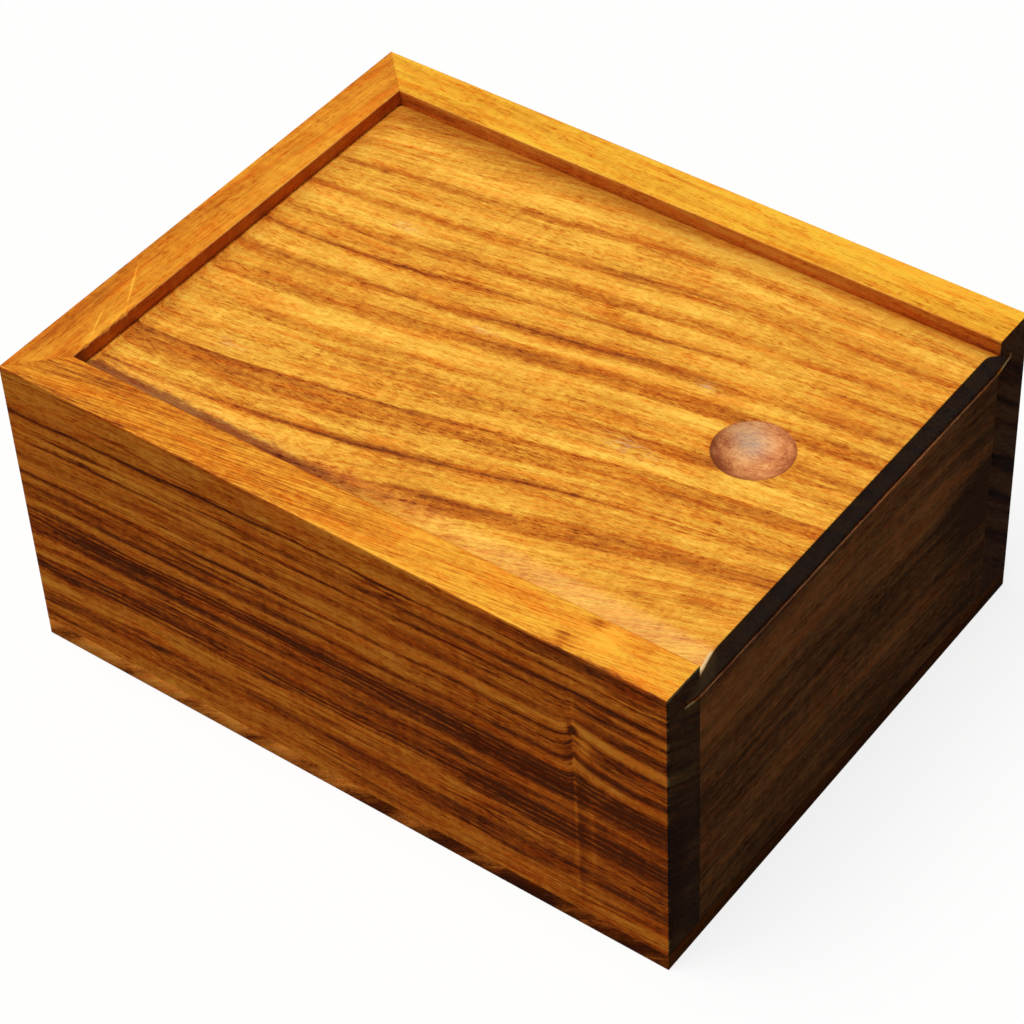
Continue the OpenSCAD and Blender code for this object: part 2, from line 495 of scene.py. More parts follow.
@dataclass(frozen=True)
class Timber:
    """Solid striped hardwood: growth layers cut by every face of the board, under a thin varnish.

    Streaks give the darkness at a growth course. Drift, tilt, knot and waver bend the courses,
    ragged and saw roughen the streaks' sides, and depth down to borders are strengths. Calm weakens
    the streaks below the show face, ease towards the front, and show adds detail to the show face.
    The rim values belong to the top edge. A shade multiplies the colour of one kind of face; on the
    outer and the inner faces it is painted shade.
    """

    name: str
    lie: Lie
    streaks: Mapping[float, float]
    palette: tuple[Colour, ...]
    drift: Drift = Drift()
    tilt: float = 0.5
    knot: Optional[Knot] = None
    waver: float = 1.1
    ragged: float = 1.1
    saw: float = 0.7
    depth: float = 0.6
    lines: float = 0.7
    mottle: float = 0.3
    fibres: float = 0.34
    veins: float = 0.15
    clouds: float = 0.12
    ripples: float = 0.12
    pores: float = 0.09
    streak_pores: float = 0.22
    borders: float = 0.12
    calm: float = 0.0
    ease: float = 0.0
    show: float = 0.0
    fade_along: float = 0.0
    rim_lines: float = 0.0
    rim_lean: float = 0.0
    rim_lift: float = 0.0
    rim_fade: float = 0.0
    flecks: Optional[tuple[float, float, float]] = None
    marks: tuple[Mark, ...] = ()
    lift: float = 0.0
    golden: Colour = (1.0, 1.07, 1.0)
    reddish: Colour = (1.0, 0.78, 0.62)
    pore_shade: Colour = (0.94, 0.70, 0.52)
    # Painted shade: a darker, redder tint on the outer faces, for the shade that falls on the sides.
    face_painted_shade: Colour = (0.95, 0.76, 0.80)
    edge_shade: Colour = WHITE
    # Painted shade on the inner faces: darker and redder by default, nearly even on the far wall and
    # bluer on the back wall, after the shade on each lip.
    inner_at: float = WALL
    inner_painted_shade: Colour = (0.50, 0.32, 0.26)
    end_shade: Colour = (0.17, 0.185, 0.9)
    # Pale edges: partly rubbing and partly a painted highlight along the edges that show.
    edge_wear_and_highlight_colour: Colour = (0.86, 0.46, 0.12)
    edge_wear_and_highlight: float = 0.1
    raw: Colour = (0.82, 0.60, 0.31)
    gloss: float = 0.03
    roughness: float = 0.5

    def layers(self, shader: Shader) -> Layers:
        """Bend the board's measures into growth layers.

        The course is the distance across the face, less the drift and the knot's lift, plus the
        depth times the tilt and a slow waver.

        Args:
            shader: Tree to add to.

        Returns:
            The measures of a point.
        """
        place = shader.place()
        along, across, deep = self.lie.read(shader.split(place))
        board = shader.join(along, across, deep)
        course = across - self.drift.shift(shader, along, across) + deep * self.tilt
        if self.knot:
            course = course - self.knot.shift(shader, along, across)
        course = course + shader.noise(board, Weave.WAVER) * self.waver
        growth = shader.join(along, course, deep - across * self.tilt)
        return Layers(place, along, across, deep, board, course, growth)

    def streak(self, shader: Shader, at: Layers) -> Wire:
        """Darkness of the main streaks by growth course, with ragged sides.

        Args:
            shader: Tree to add to.
            at: Measures of the point.

        Returns:
            0 in pale wood and 1 in the darkest streak.
        """
        saw = shader.noise(at.growth, Weave.SAW) * self.saw
        slow = shader.noise(at.growth, Weave.SLOW) * self.ragged
        course = at.course + saw + slow
        stops = sorted(self.streaks.items())
        groups = [stops[i:i + RAMP_LIMIT] for i in range(0, len(stops) - 1, RAMP_LIMIT - 1)]
        parts: list[tuple[float, Wire]] = []
        for group in groups:
            low, span = group[0][0], group[-1][0] - group[0][0]
            row = [((place - low) / span, (dark,) * 3) for place, dark in group]
            parts.append((low, shader.ramp((course - low) / span, row)))
        tone = parts[0][1]
        for low, part in parts[1:]:
            tone = shader.blend(shader.math("GREATER_THAN", course, low), tone, part)
        # The ramps give greys, and a Math node makes a value of them.
        return tone * 1.0

    def rim_tone(self, shader: Shader, at: Layers) -> Wire:
        """Leaning lines and a fade that only a wall's top edge has.

        Args:
            shader: Tree to add to.
            at: Measures of the point.

        Returns:
            The tone to add, 0 off the top edge.
        """
        leaning = shader.join(at.along, at.deep - at.along * self.rim_lean, 0.0)
        tone = shader.noise(leaning, Weave.RIM) * self.rim_lines
        tone = tone + at.along * self.rim_fade + self.rim_lift
        inside = shader.rise(at.deep, 0.03, 0.3) * (1 - shader.rise(at.deep, WALL - 0.3, WALL - 0.02))
        return tone * inside * shader.rise(at.across, HEIGHT - 1.2, HEIGHT - 0.4)

    def grow(self, shader: Shader) -> Grain:
        """Work out the darkness of the wood at every point.

        A streak s counts as (0.8 s^3 + 0.3 s) times a slow fade, drawn towards the mean tone where
        it is calmed or eased. Lines, pores, veins, clouds, flecks and the marks are added to it.

        Args:
            shader: Tree to add to.

        Returns:
            The wires that colour, roughness and bump are made from.
        """
        at = self.layers(shader)
        kinds = (Weave.FADE, Weave.LINES, Weave.MOTTLE, Weave.FIBRE, Weave.WARMTH)
        fade, lines, mottle, fibre, warm = (shader.noise(at.growth, kind) for kind in kinds)
        ripple, cloud = (shader.noise(at.board, kind) for kind in (Weave.RIPPLE, Weave.CLOUD))
        places = shader.rise(shader.noise(at.growth, Weave.PLACES), -0.2, 0.35)
        vessel = shader.rise(shader.noise(at.growth, Weave.VESSEL) + places * 0.16, 0.26, 0.5)
        pore = shader.most(shader.rise(shader.noise(at.growth, Weave.DASH), 0.16, 0.42), vessel)
        vein = 1 - shader.rise(abs(shader.noise(at.growth, Weave.VEIN)), 0.0, 0.1)
        vein = vein * shader.rise(shader.noise(at.growth, Weave.VEIN_PLACES), -0.3, 0.3)
        calm = 1 - shader.rise(at.deep, 0.2, 1.2) * self.calm
        eased = 1 - shader.rise(at.along, 10, 70) * self.ease
        streak = self.streak(shader, at)
        border = (1 - shader.rise(abs(streak - 0.5), 0.0, 0.11)) * places
        tone = (streak ** 3.0 * 0.8 + streak * 0.3) * (fade * 0.7 + 1.0)
        tone = ((tone - MEAN_TONE) * calm * eased + MEAN_TONE) * self.depth
        tone = tone + (lines * self.lines + mottle * self.mottle + vein * self.veins) * calm
        tone = tone + pore * (streak * self.streak_pores + self.pores) * calm
        tone = tone + fibre * self.fibres + ripple * self.ripples + cloud * self.clouds
        skin = (1 - shader.rise(at.deep, 0.1, 0.5)) * self.show
        tone = tone + (lines * 0.35 + mottle * 0.3 + fibre * 0.3 + vein * 0.3) * skin
        tone = tone + border * calm * self.borders + self.rim_tone(shader, at)
        tone = tone + at.along * self.fade_along + self.lift
        if self.flecks:
            low, high, depth = self.flecks
            spot = shader.rise(shader.noise(at.growth, Weave.FLECK), 0.05, 0.45)
            upper = 1 - shader.rise(at.course, high - 3, high + 3)
            tone = tone + spot * shader.rise(at.course, low - 3, low + 3) * upper * depth
        for mark in self.marks:
            tone = tone + mark.weight(shader, at.place) * mark.tone
        return Grain(at, tone, fibre, pore, warm)

    def colour(self, shader: Shader, grain: Grain) -> Wire:
        """Colour of the varnished wood: painted shade on outer and inner faces, darker on end grain,
        paler along shown edges from rubbing and a painted highlight, and bare where torn.

        Args:
            shader: Tree to add to.
            grain: What grow() worked out.

        Returns:
            The base colour.
        """
        colour = shader.palette(grain.tone, self.palette)
        warm = shader.rise(grain.warm, -0.2, 0.4)
        tints = [shader.times(colour, tint) for tint in (self.golden, self.reddish)]
        colour = shader.shade(grain.pore * 0.8, shader.blend(warm, *tints), self.pore_shade)
        normal = shader.split(shader.node("ShaderNodeNewGeometry", pick="Normal"))
        along, across, deep = (abs(normal[axis]) for axis, _, _ in self.lie.value)
        # Painted shade: the outer faces take a darker, redder tint.
        colour = shader.shade(shader.rise(deep, 0.6, 0.9), colour, self.face_painted_shade)
        colour = shader.shade(shader.rise(across, 0.6, 0.9), colour, self.edge_shade)
        # Painted shade: the inner faces of the walls are tinted for the shade on their lips.
        inner = shader.rise(grain.at.deep, self.inner_at - 0.3, self.inner_at - 0.1)
        colour = shader.shade(inner, colour, self.inner_painted_shade)
        end = shader.rise(along, 0.72, 0.96)
        ring = shader.noise(shader.join(grain.at.course, grain.at.deep, 0.0), Weave.END_RINGS)
        light = 1.45 - shader.rise(grain.tone, 0.1, 0.65) + shader.rise(ring, 0.1, 0.5) * 0.7
        cut = shader.scaled(shader.times(colour, self.end_shade), light)
        colour = shader.blend(end, colour, cut)
        # Shown edges turn paler, on the front wall redder: partly rubbing, partly a painted highlight.
        patches = shader.noise(grain.at.place, Weave.PATCHES) * 0.4
        edge_wear_and_highlight_mask = shader.rise(shader.attribute("arris") + patches, 0.5, 1.0) * (1 - end)
        colour = shader.blend(edge_wear_and_highlight_mask * self.edge_wear_and_highlight, colour, self.edge_wear_and_highlight_colour)
        bare = shader.rise(shader.attribute("raw") + patches * 0.5, 0.35, 0.7) * (1 - end)
        return shader.blend(bare, colour, self.raw)

    def paint(self, shader: Shader) -> Wire:
        """Put the varnished wood together; the coat has sunk into the pores.

        Args:
            shader: Tree to add to.

        Returns:
            The surface.
        """
        grain = self.grow(shader)
        sockets = {
            "Base Color": self.colour(shader, grain),
            "Roughness": grain.fibre * 0.05 + grain.pore * 0.12 + self.roughness,
            "Specular IOR Level": 0.0,
            "Coat Weight": (1 - grain.pore * 0.7) * self.gloss,
            "Coat Roughness": 0.4,
            "Coat IOR": 1.4,
            "Normal": shader.bump(grain.fibre * 0.35 - grain.pore, 0.22, 0.0002),
        }
        return shader.node("ShaderNodeBsdfPrincipled", None, sockets)

    def material(self) -> bpy.types.Material:
        """Make the board's material."""
        return new_material(self.name, self.paint)


@dataclass(frozen=True)
class LidTimber(Timber):
    """The lid's board, with the bare redder wood that the cutter left in the thumb recess."""

    recess_palette: tuple[Colour, ...] = (
        (0.85, 0.46, 0.175), (0.61, 0.23, 0.078), (0.32, 0.08, 0.027),
    )
    # Painted reflection: a bluish-grey spot in the recess, with the grey colour below it.
    grey_reflection_spot: Mark = Mark((63.6, 4.4, 86.0), (4.2, 3.4, 6.0), 0.62)
    dull: Colour = (0.30, 0.235, 0.225)
    # Painted shade and light on the slopes by the groove: a darker band by the lips, a purplish painted
    # shadow on the near slope and a painted sheen on its front part.
    gap_shade: Colour = (0.52, 0.32, 0.24)
    near_shadow_colour: Colour = (0.38, 0.27, 0.55)
    sheen: Colour = (0.95, 0.60, 0.26)
    # Pale spots on the lid: partly fine scratches and partly a painted milky sheen.
    scuff_and_sheen_colour: Colour = (0.82, 0.60, 0.36)
    scuff_and_sheen_spots: tuple[Mark, ...] = (
        Mark((-55, -38, 89.5), (3.5, 1.5, 3), 0.35),
        Mark((-47, 20, 89.5), (3.0, 1.6, 3), 0.5),
        Mark((-8, -1, 89.5), (3.5, 1.2, 3), 0.4),
        Mark((44, -15, 89.5), (6.0, 1.8, 3), 0.5),
        Mark((47, 12, 89.5), (3.0, 1.2, 3), 0.35),
    )

    def hollow(self, shader: Shader, grain: Grain, colour: Wire) -> Wire:
        """Colour the recess by distance from its middle: turned rings, dark sides, stains, a painted
        grey reflection and painted light across it.

        Args:
            shader: Tree to add to.
            grain: What grow() worked out.
            colour: Colour of the lid.

        Returns:
            The colour with the recess in it.
        """
        x, y, z = shader.split(grain.at.place)
        dx = x - RECESS_AT[0]
        dy = y - RECESS_AT[1]
        away = (dx * dx + dy * dy) ** 0.5
        rings = shader.noise(shader.join(away, 0.0, 0.0), Weave.TURNED)
        stain = shader.noise(grain.at.place, Weave.STAIN) * 0.75 + 0.08
        sides = shader.rise(abs(dx * 0.8 + dy * 0.6), 1.5, 9.5) * 0.34
        rim = shader.rise(away, RECESS_RADIUS / 2, RECESS_RADIUS) * 0.2
        rim = rim + shader.rise(away, RECESS_RADIUS - 0.8, RECESS_RADIUS - 0.1) * 0.25
        # Painted light: the recess is lightened towards the far side and darkened towards the near side
        # and the front.
        painted_light_slant = dx * 0.012 - dy * 0.032
        tone = grain.tone * 0.6 + grain.fibre * 0.4 + rings * 0.36 + rim + stain + sides + painted_light_slant
        # Painted reflection: a bluish-grey spot in the recess.
        dull = rings * 0.8 + grain.fibre * 0.8 + self.grey_reflection_spot.tone
        dull = self.grey_reflection_spot.weight(shader, grain.at.place) * dull
        bare = shader.blend(dull, shader.palette(tone, self.recess_palette), self.dull)
        inside = 1 - shader.rise(away, RECESS_RADIUS - 0.25, RECESS_RADIUS + 0.02)
        return shader.blend(inside * shader.rise(z, LID_TOP - 7.5, LID_TOP - 5.5), colour, bare)

    def border(self, shader: Shader, grain: Grain, colour: Wire) -> Wire:
        """Paint shade onto the slopes by the groove: a band by the far and back lips, a purplish painted
        shadow of the near lip, and a painted sheen along the near slope's front part.

        Args:
            shader: Tree to add to.
            grain: What grow() worked out.
            colour: Colour of the lid.

        Returns:
            The shaded colour.
        """
        x, y, z = shader.split(grain.at.place)
        from_far = INNER_W - y
        from_near = INNER_W + y
        from_back = INNER_L + x
        # Painted shade: the slopes darken towards the far and back lips and along the groove.
        upper = shader.rise(z, LID_UNDER + 0.7, LID_UNDER + 2.9)
        far = 1 - shader.rise(from_far + shader.rise(x, -45.0, 10.0) * 1.2, 6.5, 14.0)
        far = far * (0.68 - shader.rise(x, 0.0, 60.0) * 0.45)
        back = shader.rise(10.5 - from_back, 0.0, 6.0) * 0.4
        reach = shader.most(6.5 - from_far, 2.0 - from_near, 3.0 - from_back)
        gap = shader.rise(reach + shader.noise(grain.at.place, Weave.GAP) * 1.2, 0.0, 7.0)
        colour = shader.shade(shader.most(gap, far, back) * upper, colour, self.gap_shade)
        # Painted shadow: the near lip's shadow on the near slope, ragged at its edge and fading towards
        # the front.
        ragged = shader.noise(grain.at.place, Weave.NEAR_SHADOW_EDGE) * 1.6
        near_shadow = shader.rise(ragged + 4.6 - from_near, 0.0, 1.5) * upper
        near_shadow = near_shadow * (1 - shader.rise(x, -40.0, 25.0))
        colour = shader.shade(near_shadow, colour, self.near_shadow_colour)
        # Painted sheen: the near slope is lightened towards the front.
        sheen = shader.rise(8.0 - from_near, 0.0, 3.0) * shader.rise(x, 0.0, 70.0)
        return shader.blend(sheen * 0.16, colour, self.sheen)

    def colour(self, shader: Shader, grain: Grain) -> Wire:
        """Colour of the lid with its recess, its painted shade and sheen by the groove, and pale spots
        that are partly scratches and partly painted sheen.

        Args:
            shader: Tree to add to.
            grain: What grow() worked out.

        Returns:
            The base colour.
        """
        colour = super().colour(shader, grain)
        colour = self.hollow(shader, grain, colour)
        colour = self.border(shader, grain, colour)
        x, y, _ = shader.split(grain.at.place)
        # Pale streaky spots, partly scratches and partly painted sheen.
        scuff_and_sheen_streaks = shader.noise(shader.join(x, y - x * 0.2, 0.0), Weave.SCUFF_AND_SHEEN)
        scuff_and_sheen_streaks = shader.rise(scuff_and_sheen_streaks, -0.1, 0.3)
        for pale_spot in self.scuff_and_sheen_spots:
            share = pale_spot.weight(shader, grain.at.place) * scuff_and_sheen_streaks * pale_spot.tone
            colour = shader.blend(share, colour, self.scuff_and_sheen_colour)
        return colour


@dataclass(frozen=True)
class Steel:
    """Drawn wire of the bottom pins, with fine lines and dulled patches."""

    name: str = "bright drawn wire"
    bright: Colour = (0.62, 0.62, 0.64)
    dull: Colour = (0.40, 0.39, 0.38)

    def paint(self, shader: Shader) -> Wire:
        """Put the metal together.

        Args:
            shader: Tree to add to.

        Returns:
            The surface.
        """
        place = shader.place()
        lines = shader.noise(place, Weave.DRAWN)
        patch = shader.rise(shader.noise(place, Weave.DULLED), -0.2, 0.5)
        sockets = {
            "Base Color": shader.blend(patch, self.bright, self.dull),
            "Metallic": 1.0,
            "Roughness": patch * 0.2 + lines * 0.06 + 0.32,
            "Normal": shader.bump(lines, 0.15, 0.0001),
        }
        return shader.node("ShaderNodeBsdfPrincipled", None, sockets)

    def material(self) -> bpy.types.Material:
        """Make the pins' material."""
        return new_material(self.name, self.paint)


def section(
    corners: Sequence[Corner], spacing: float, arc: int = 5, guard: float = 0.25, glow: float = 0.35
) -> tuple[np.ndarray, np.ndarray]:
    """Close a board's section with eased corners.

    Each corner is a quadratic curve (1-t)^2 a + 2t(1-t) p + t^2 b through points a and b one
    radius before and after the corner p. The straight runs between are split evenly, with a
    guard point near each end that keeps the flat faces flat under smooth shading.

    Args:
        corners: Corners in order, anticlockwise.
        spacing: Longest step along a straight run.
        arc: Steps round a corner.
        guard: Distance of a guard point from the end of its run.
        glow: Distance over which nearness to an edge falls away.

    Returns:
        Points (n, 2) and, for each, how near it is to an edge that shows, from 0 to 1.
    """
    tips = np.array([(c.deep, c.up) for c in corners])
    radii = np.array([c.radius for c in corners])[:, None]
    back = np.roll(tips, 1, axis=0) - tips
    ahead = np.roll(tips, -1, axis=0) - tips
    start = tips + back / np.linalg.norm(back, axis=1, keepdims=True) * radii
    stop = tips + ahead / np.linalg.norm(ahead, axis=1, keepdims=True) * radii
    t = np.linspace(0.0, 1.0, arc + 1)[:, None, None]
    curves = (1 - t) ** 2 * start + 2 * t * (1 - t) * tips + t ** 2 * stop
    rows = []
    for i in range(len(corners)):
        gap = np.roll(start, -1, axis=0)[i] - stop[i]
        length = float(np.linalg.norm(gap))
        inset = min(guard, length / 4) / length
        share = np.linspace(inset, 1 - inset, max(2, math.ceil(length / spacing) + 1))
        rows += [curves[:, i], stop[i] + share[:, None] * gap]
    points = np.concatenate(rows)
    shown = np.array([(c.deep, c.up) for c in corners if c.shows]).reshape(-1, 2)
    away = np.linalg.norm(points[:, None] - shown[None], axis=2)
    return points, np.exp(-(away.min(axis=1, initial=FAR_AWAY) / glow) ** 2)


def outward(points: np.ndarray) -> np.ndarray:
    """Find the normals of a closed anticlockwise outline, from the chord between neighbours.

    Args:
        points: Outline (n, 2).

    Returns:
        Unit normals (n, 2) that point out of it.
    """
    chord = np.roll(points, -1, axis=0) - np.roll(points, 1, axis=0)
    normal = np.stack([chord[:, 1], -chord[:, 0]], axis=1)
    return normal / np.linalg.norm(normal, axis=1, keepdims=True)


class Rings(NamedTuple):
    """Rings of a board along its length: share of the way, extra travel and how far drawn in."""

    share: np.ndarray
    push: np.ndarray
    inset: np.ndarray


def end_rings(steps: int, length: float, arc: int = 3, guard: float = 0.3) -> Rings:
    """Space rings along a board whose two ends are rounded over.

    At an end the rings follow a quarter circle of radius 1: drawn in by 1 - cos a and pushed
    out by sin a.

    Args:
        steps: Even steps between the ends.
        length: Length of the board, for the guard rings.
        arc: Steps round each end's quarter circle.
        guard: Distance of a guard ring from its end.

    Returns:
        The rings, from start to stop.
    """
    angle = np.linspace(np.pi / 2, 0.0, arc + 1)
    first = np.stack([0 * angle, -np.sin(angle), 1 - np.cos(angle)], axis=1)
    last = np.stack([0 * angle + 1, np.sin(angle), 1 - np.cos(angle)], axis=1)[::-1]
    inset = guard / length
    middle = np.linspace(inset, 1 - inset, steps + 1)
    body = np.stack([middle, 0 * middle, 0 * middle], axis=1)
    return Rings(*np.concatenate([first, body, last]).T)


class Patch(NamedTuple):
    """A square of mesh round a centre whose lines are bent into circles."""

    centre: tuple[float, float]
    circle: float
    square: float

    def bend(self, x: np.ndarray, y: np.ndarray, where: np.ndarray) -> tuple[np.ndarray, np.ndarray]:
        """Bend straight mesh lines into circles round the centre.

        The larger of a point's two offsets becomes its radius, and their ratio its angle, an
        eighth of a turn at the diagonal. From the circle out to the square the move fades away.

        Args:
            x: Places along X.
            y: Places along Y.
            where: Points that may move.

        Returns:
            The new x and y.
        """
        a = x - self.centre[0]
        b = y - self.centre[1]
        wide = np.abs(a) >= np.abs(b)
        big = np.where(wide, a, b)
        small = np.where(wide, b, a)
        ratio = np.divide(small, big, out=np.zeros_like(big), where=np.abs(big) > 1e-9)
        long = big * np.cos(ratio * np.pi / 4)
        short = big * np.sin(ratio * np.pi / 4)
        keep = np.clip((self.square - np.abs(big)) / (self.square - self.circle), 0.0, 1.0)
        keep = keep * (where & (np.abs(big) < self.square))
        move_x = np.where(wide, long, short) - a
        move_y = np.where(wide, short, long) - b
        return x + keep * move_x, y + keep * move_y


def stations(
    low: float, high: float, step: float, centres: Sequence[float], offsets: np.ndarray
) -> np.ndarray:
    """Space mesh lines from low to high: even steps, with a close set of offsets round each centre.

    Args:
        low: First line.
        high: Last line.
        step: Even step.
        centres: Middles of the close sets.
        offsets: Distances on either side of a centre.

    Returns:
        The rising places of the lines.
    """
    even = np.linspace(low, high, max(2, round((high - low) / step)) + 1)
    middles = np.asarray(centres, float)
    away = np.abs(even[:, None] - middles[None]).min(axis=1, initial=FAR_AWAY)
    clear = away > offsets.max() + 0.4 * step
    close = (middles[:, None] + np.concatenate([-offsets, offsets])[None]).ravel()
    clear[[0, -1]] = True
    return np.unique(np.round(np.concatenate([even[clear], close]), 5))


def wander(s: np.ndarray, phase: float) -> np.ndarray:
    """Waver slowly and irregularly, a sum of three sines whose periods don't match.

    Args:
        s: Places in millimetres.
        phase: Shift that sets one waver off from another.

    Returns:
        Values from about -1 to 1.
    """
    slow = np.sin(s / 17.0 + phase)
    middle = 0.6 * np.sin(s / 7.3 + 2.3 * phase)
    quick = 0.35 * np.sin(s / 3.1 + 4.1 * phase)
    return (slow + middle + quick) / (1.0 + 0.6 + 0.35)


def soft_low(a: np.ndarray, b: np.ndarray, soft: float) -> np.ndarray:
    """Lower of two heights, eased where they meet: min(a, b) - max(soft - |a - b|, 0)^2 / (4 soft)."""
    return np.minimum(a, b) - np.maximum(soft - np.abs(a - b), 0.0) ** 2 / (4 * soft)


def signed_volume(points: np.ndarray, quads: np.ndarray, caps: np.ndarray) -> float:
    """Six times the volume of a closed surface, the sum of a . (b x c) over its triangles.

    Args:
        points: Points (n, 3).
        quads: Corners of the four-sided faces.
        caps: Corners of the two end faces.

    Returns:
        The volume, below 0 where the faces point inwards.
    """
    a, b, c = points[np.concatenate([quads[:, [0, 1, 2]], quads[:, [0, 2, 3]]])].swapaxes(0, 1)
    volume = np.einsum("ij,ij->", a, np.cross(b, c))
    for cap in points[caps]:
        volume += np.einsum("j,ij->", cap[0], np.cross(cap[1:-1], cap[2:]))
    return float(volume)


def closed_piece(
    name: str, rings: np.ndarray, arris: np.ndarray, raw: np.ndarray, dress: bpy.types.Material
) -> bpy.types.Object:
    """Write a closed surface: rings of points joined by quads, with a flat cap on the first and last.

    Args:
        name: Name of the piece.
        rings: Points in millimetres (rings, points in a ring, 3).
        arris: Nearness to an edge that shows, for each point.
        raw: Share of torn bare wood, for each point.
        dress: Material.

    Returns:
        The object, with its faces pointing outwards.
    """
    count, around = rings.shape[:2]
    points = rings.reshape(-1, 3) * MM
    index = np.arange(count * around).reshape(count, around)
    beside = np.roll(index, -1, axis=1)
    quads = np.stack([index[:-1], index[1:], beside[1:], beside[:-1]], axis=-1).reshape(-1, 4)
    caps = np.stack([index[0], index[-1][::-1]])
    if signed_volume(points, quads, caps) < 0:
        quads = quads[:, ::-1]
        caps = caps[:, ::-1]
    loops = np.concatenate([quads.ravel(), caps.ravel()])
    totals = np.concatenate([np.full(len(quads), 4), np.full(2, around)])
    starts = np.cumsum(totals) - totals
    mesh = bpy.data.meshes.new(name)
    mesh.vertices.add(len(points))
    mesh.vertices.foreach_set("co", points.ravel().astype(np.float32))
    mesh.loops.add(len(loops))
    mesh.loops.foreach_set("vertex_index", loops.astype(np.int32))
    mesh.polygons.add(len(totals))
    mesh.polygons.foreach_set("loop_start", starts.astype(np.int32))
    mesh.polygons.foreach_set("use_smooth", totals == 4)
    mesh.update(calc_edges=True)
    mesh.validate()
    for key, values in (("arris", arris), ("raw", raw)):
        made = mesh.attributes.new(key, "FLOAT", "POINT")
        made.data.foreach_set("value", values.ravel().astype(np.float32))
    mesh.set_sharp_from_angle(angle=SHARP_ANGLE)
    mesh.materials.append(dress)
    return new_object(name, mesh)


@dataclass
class Wall:
    """One wall of the box, a section carried along its length between two end planes."""

    name: str
    node: str
    lie: Lie
    timber: Timber
    corners: tuple[Corner, ...]
    start: Callable[[np.ndarray], np.ndarray]
    stop: Callable[[np.ndarray], np.ndarray]
    length: float
    end_radius: float = 0.1
    torn_radius: float = 0.5
    step: float = 2.0
    spacing: float = 2.5
    chips: tuple[Triple, ...] = ()

    @staticmethod
    def mouth(outline: np.ndarray) -> np.ndarray:
        """Find the part of a section that lies in the groove.

        Args:
            outline: Points of the section (n, 2).

        Returns:
            For each point, 0 at the groove's lips and beyond them, up to 1 further in.
        """
        deep, up = outline.T
        inside = (deep > WALL - GROOVE_DEPTH - 0.5) & (up > SEAT + 0.5) & (up < LIP_LOW - 0.45)
        return np.clip((WALL - 0.9 - deep) / 1.5, 0.0, 1.0) * inside

    def chip_depth(self, along: np.ndarray) -> np.ndarray:
        """Find how deep splinters cut along the inner rim edge.

        Each splinter (place, width, depth) is a lopsided tent that climbs over its width on one
        side and drops over a third of it on the other; the deepest one at a place counts.

        Args:
            along: Places along the wall.

        Returns:
            The depth at each place.
        """
        depth = np.zeros_like(along)
        for place, width, deep in self.chips:
            offset = (along - place) / width
            tent = np.where(offset < 0, 1 + offset, 1 - 3 * offset)
            depth = np.maximum(depth, deep * np.clip(tent, 0.0, 1.0) ** 0.7)
        return depth

    def build(self) -> bpy.types.Object:
        """Carry the section along the wall.

        A ring's points lie at start(d) + (stop(d) - start(d)) f along the wall, where d is a
        point's depth in the wall, so that a start plane which follows d makes a mitre. A
        splinter cuts the inner rim edge back to a slanting plane, d + z no more than a limit.

        Returns:
            The finished wall.
        """
        outline, edge = section(self.corners, self.spacing)
        normal = outward(outline)
        rings = end_rings(round(self.length / self.step), self.length)
        share = rings.share[:, None]
        torn = self.mouth(outline)[None]
        radius = self.end_radius + np.where(share < 0.5, 0.0, self.torn_radius * torn)
        inset = rings.inset[:, None] * radius
        deep = outline[None, :, 0] - inset * normal[None, :, 0]
        up = outline[None, :, 1] - inset * normal[None, :, 1]
        first = self.start(deep) + self.end_radius
        last = self.stop(deep) - radius[-1]
        along = first * (1 - share) + last * share + rings.push[:, None] * radius
        if self.chips:
            rim = self.corners[-2]
            over = np.maximum(deep + up - (rim.deep + rim.up - self.chip_depth(along)), 0.0) / 2
            deep = deep - over
            up = up - over
        points = self.lie.place(along, up, deep)
        turned = (rings.push > 0.1) & (rings.push < 0.99)
        raw = torn * turned[:, None] * (self.lie in (Lie.NEAR, Lie.FAR))
        shows = np.broadcast_to(edge, deep.shape)
        piece = closed_piece(self.name, points, shows, raw, self.timber.material())
        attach(piece, "box")
        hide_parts(self.node)
        return piece


